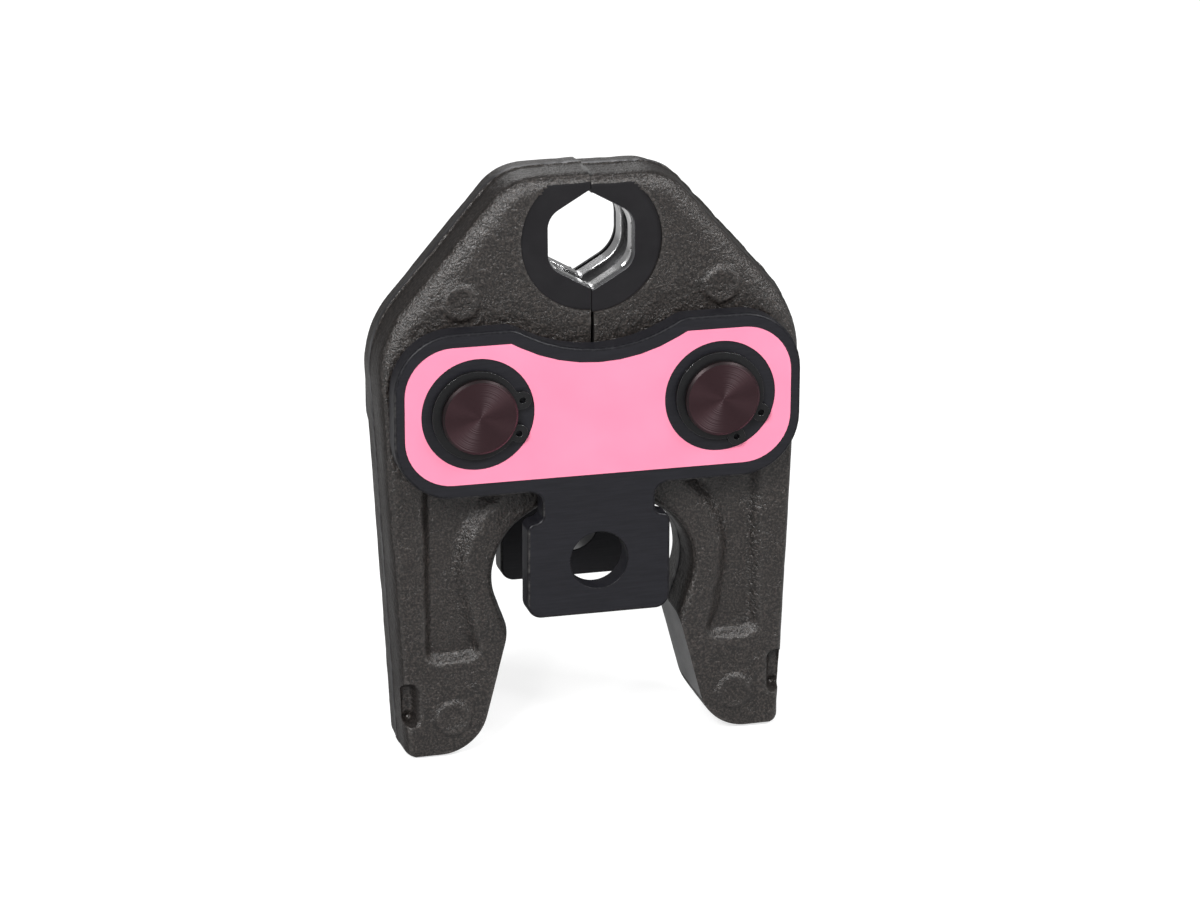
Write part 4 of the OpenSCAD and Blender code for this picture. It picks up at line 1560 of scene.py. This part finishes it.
@dataclass
class Studio:
    """Camera, floor and soft lights."""

    yaw_deg: float = 15.05
    pitch_deg: float = 18.42
    roll_deg: float = 0.224
    target: tuple[float, float, float] = (4.501, 0.0, 21.709)
    distance: float = 990.786
    lens: float = 124.53
    floor_size: float = 6000.0
    floor_grey: float = 0.42
    floor_glow: float = 0.72
    ambient: float = 0.3
    middle: tuple[float, float, float] = (0.0, 0.0, 0.03)

    def camera(self) -> None:
        """Puts the camera at the photograph's viewing angle."""
        yaw, pitch, roll = (math.radians(a) for a in (self.yaw_deg, self.pitch_deg, self.roll_deg))
        look = Vector((math.sin(yaw) * math.cos(pitch), math.cos(yaw) * math.cos(pitch), -math.sin(pitch)))
        right = look.cross(Vector((0, 0, 1))).normalized()
        above = right.cross(look)
        side = math.cos(roll) * right + math.sin(roll) * above
        up = math.cos(roll) * above - math.sin(roll) * right
        data = bpy.data.cameras.new("camera")
        data.lens = self.lens
        data.sensor_width = 36.0
        data.sensor_fit = "HORIZONTAL"
        data.clip_start = 0.05
        data.clip_end = 50.0
        camera = bpy.data.objects.new("camera", data)
        place_at = (Vector(self.target) - look * self.distance) * MM
        camera.matrix_world = Matrix(
            (
                (side.x, up.x, -look.x, place_at.x),
                (side.y, up.y, -look.y, place_at.y),
                (side.z, up.z, -look.z, place_at.z),
                (0, 0, 0, 1),
            )
        )
        bpy.context.scene.collection.objects.link(camera)
        bpy.context.scene.camera = camera

    def floor(self, height: float) -> None:
        """Lays a plain pale floor that is white to the camera and dimmer in reflections.

        Args:
            height: Height of the floor in metres.
        """
        half = self.floor_size / 2
        corners = [(-half, -half, 0), (half, -half, 0), (half, half, 0), (-half, half, 0)]
        mesh = make_mesh("floor", np.array(corners), [[0, 1, 2, 3]])
        floor = bpy.data.objects.new("floor", mesh)
        floor.location.z = height
        material = bpy.data.materials.new("pale_floor")
        material.use_nodes = True
        surface = material.node_tree.nodes["Principled BSDF"]
        surface.inputs["Base Color"].default_value = (*[self.floor_grey] * 3, 1)
        surface.inputs["Roughness"].default_value = 0.9
        surface.inputs["Specular IOR Level"].default_value = 0.1
        surface.inputs["Emission Color"].default_value = (1, 1, 1, 1)
        tree = material.node_tree
        path = tree.nodes.new("ShaderNodeLightPath")
        glow = tree.nodes.new("ShaderNodeMath")
        glow.operation = "MULTIPLY"
        glow.inputs[1].default_value = self.floor_glow
        tree.links.new(path.outputs["Is Camera Ray"], glow.inputs[0])
        tree.links.new(glow.outputs["Value"], surface.inputs["Emission Strength"])
        mesh.materials.append(material)
        bpy.context.scene.collection.objects.link(floor)
        floor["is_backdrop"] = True

    def light(self, name: str, at: tuple[float, float, float], size: float, watts: float) -> None:
        """Hangs a soft square light.

        Args:
            name: Name of the light.
            at: Its place in metres, from where it shines at the part's middle.
            size: Length of its side in metres.
            watts: Its power.
        """
        data = bpy.data.lights.new(name, "AREA")
        data.size = size
        data.energy = watts
        lamp = bpy.data.objects.new(name, data)
        lamp.location = at
        lamp.rotation_euler = (Vector(self.middle) - Vector(at)).to_track_quat("-Z", "Y").to_euler()
        bpy.context.scene.collection.objects.link(lamp)

    def build(self, floor_z: float) -> None:
        """Sets up the whole studio.

        Args:
            floor_z: Height of the floor in metres.
        """
        self.camera()
        self.floor(floor_z)
        self.surroundings()
        bpy.context.scene.view_settings.view_transform = "Standard"
        self.light("left", (-0.7, -0.93, 0.9), 0.5, 22)
        self.light("right", (0.78, -0.6, 0.85), 0.35, 11)
        self.light("back", (0.1, 1.1, 0.8), 0.5, 4)

    def surroundings(self) -> None:
        """Surrounds the part with soft grey light and shows it on plain white."""
        world = bpy.data.worlds.new("studio")
        world.use_nodes = True
        tree = world.node_tree
        dim = tree.nodes["Background"]
        dim.inputs["Color"].default_value = (1, 1, 1, 1)
        dim.inputs["Strength"].default_value = self.ambient
        plain = tree.nodes.new("ShaderNodeBackground")
        plain.inputs["Color"].default_value = (1, 1, 1, 1)
        path = tree.nodes.new("ShaderNodeLightPath")
        mix = tree.nodes.new("ShaderNodeMixShader")
        tree.links.new(path.outputs["Is Camera Ray"], mix.inputs[0])
        tree.links.new(dim.outputs["Background"], mix.inputs[1])
        tree.links.new(plain.outputs["Background"], mix.inputs[2])
        tree.links.new(mix.outputs["Shader"], tree.nodes["World Output"].inputs["Surface"])
        bpy.context.scene.world = world


def main() -> None:
    """Builds the jaw's looks in order and reports each piece."""
    logging.basicConfig(level=logging.INFO, format="%(message)s")
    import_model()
    cad_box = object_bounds()
    studio = Studio()
    studio.build(float(cad_box[0][2]))
    shades = Shades()
    finishes = [
        FORGED, DRAWN, TRIMMED, FACED, BARE, PARTING, LAND, GROOVE_PAINTED_SHADE, LIP, RIM, BLUED, BLUED_EDGE, PIN_EDGE,
        BLACKED, RING_EDGE, WIRE, FILM,
    ]
    materials = {finish.name: finish.material(shades) for finish in finishes}
    forging = LeverForging()
    for side in Side:
        lever = forging.build(side, materials)
        LOG.info("%s: %d faces", lever.name, len(lever.data.polygons))
    faces = ("front", "back")
    softened = [SoftenedPiece(f"{face}_plate", Slot.PLATE, 0.25, BLUED, BLUED_EDGE) for face in faces]
    softened += [
        SoftenedPiece(f"{face}_{side.name.lower()}_ring", Slot.RING, 0.18, BLACKED, RING_EDGE)
        for face in faces
        for side in Side
    ]
    for part in softened:
        piece = part.build(materials)
        LOG.info("%s: %d faces", piece.name, len(piece.data.polygons))
    PivotPins().build(shades, materials)
    for node, finish in (("closing_spring", WIRE), ("label", FILM)):
        data = bpy.data.objects[node].data
        data.materials.clear()
        data.materials.append(materials[finish.name])
        LOG.info("%s: dressed", node)


if __name__ == "__main__":
    main()
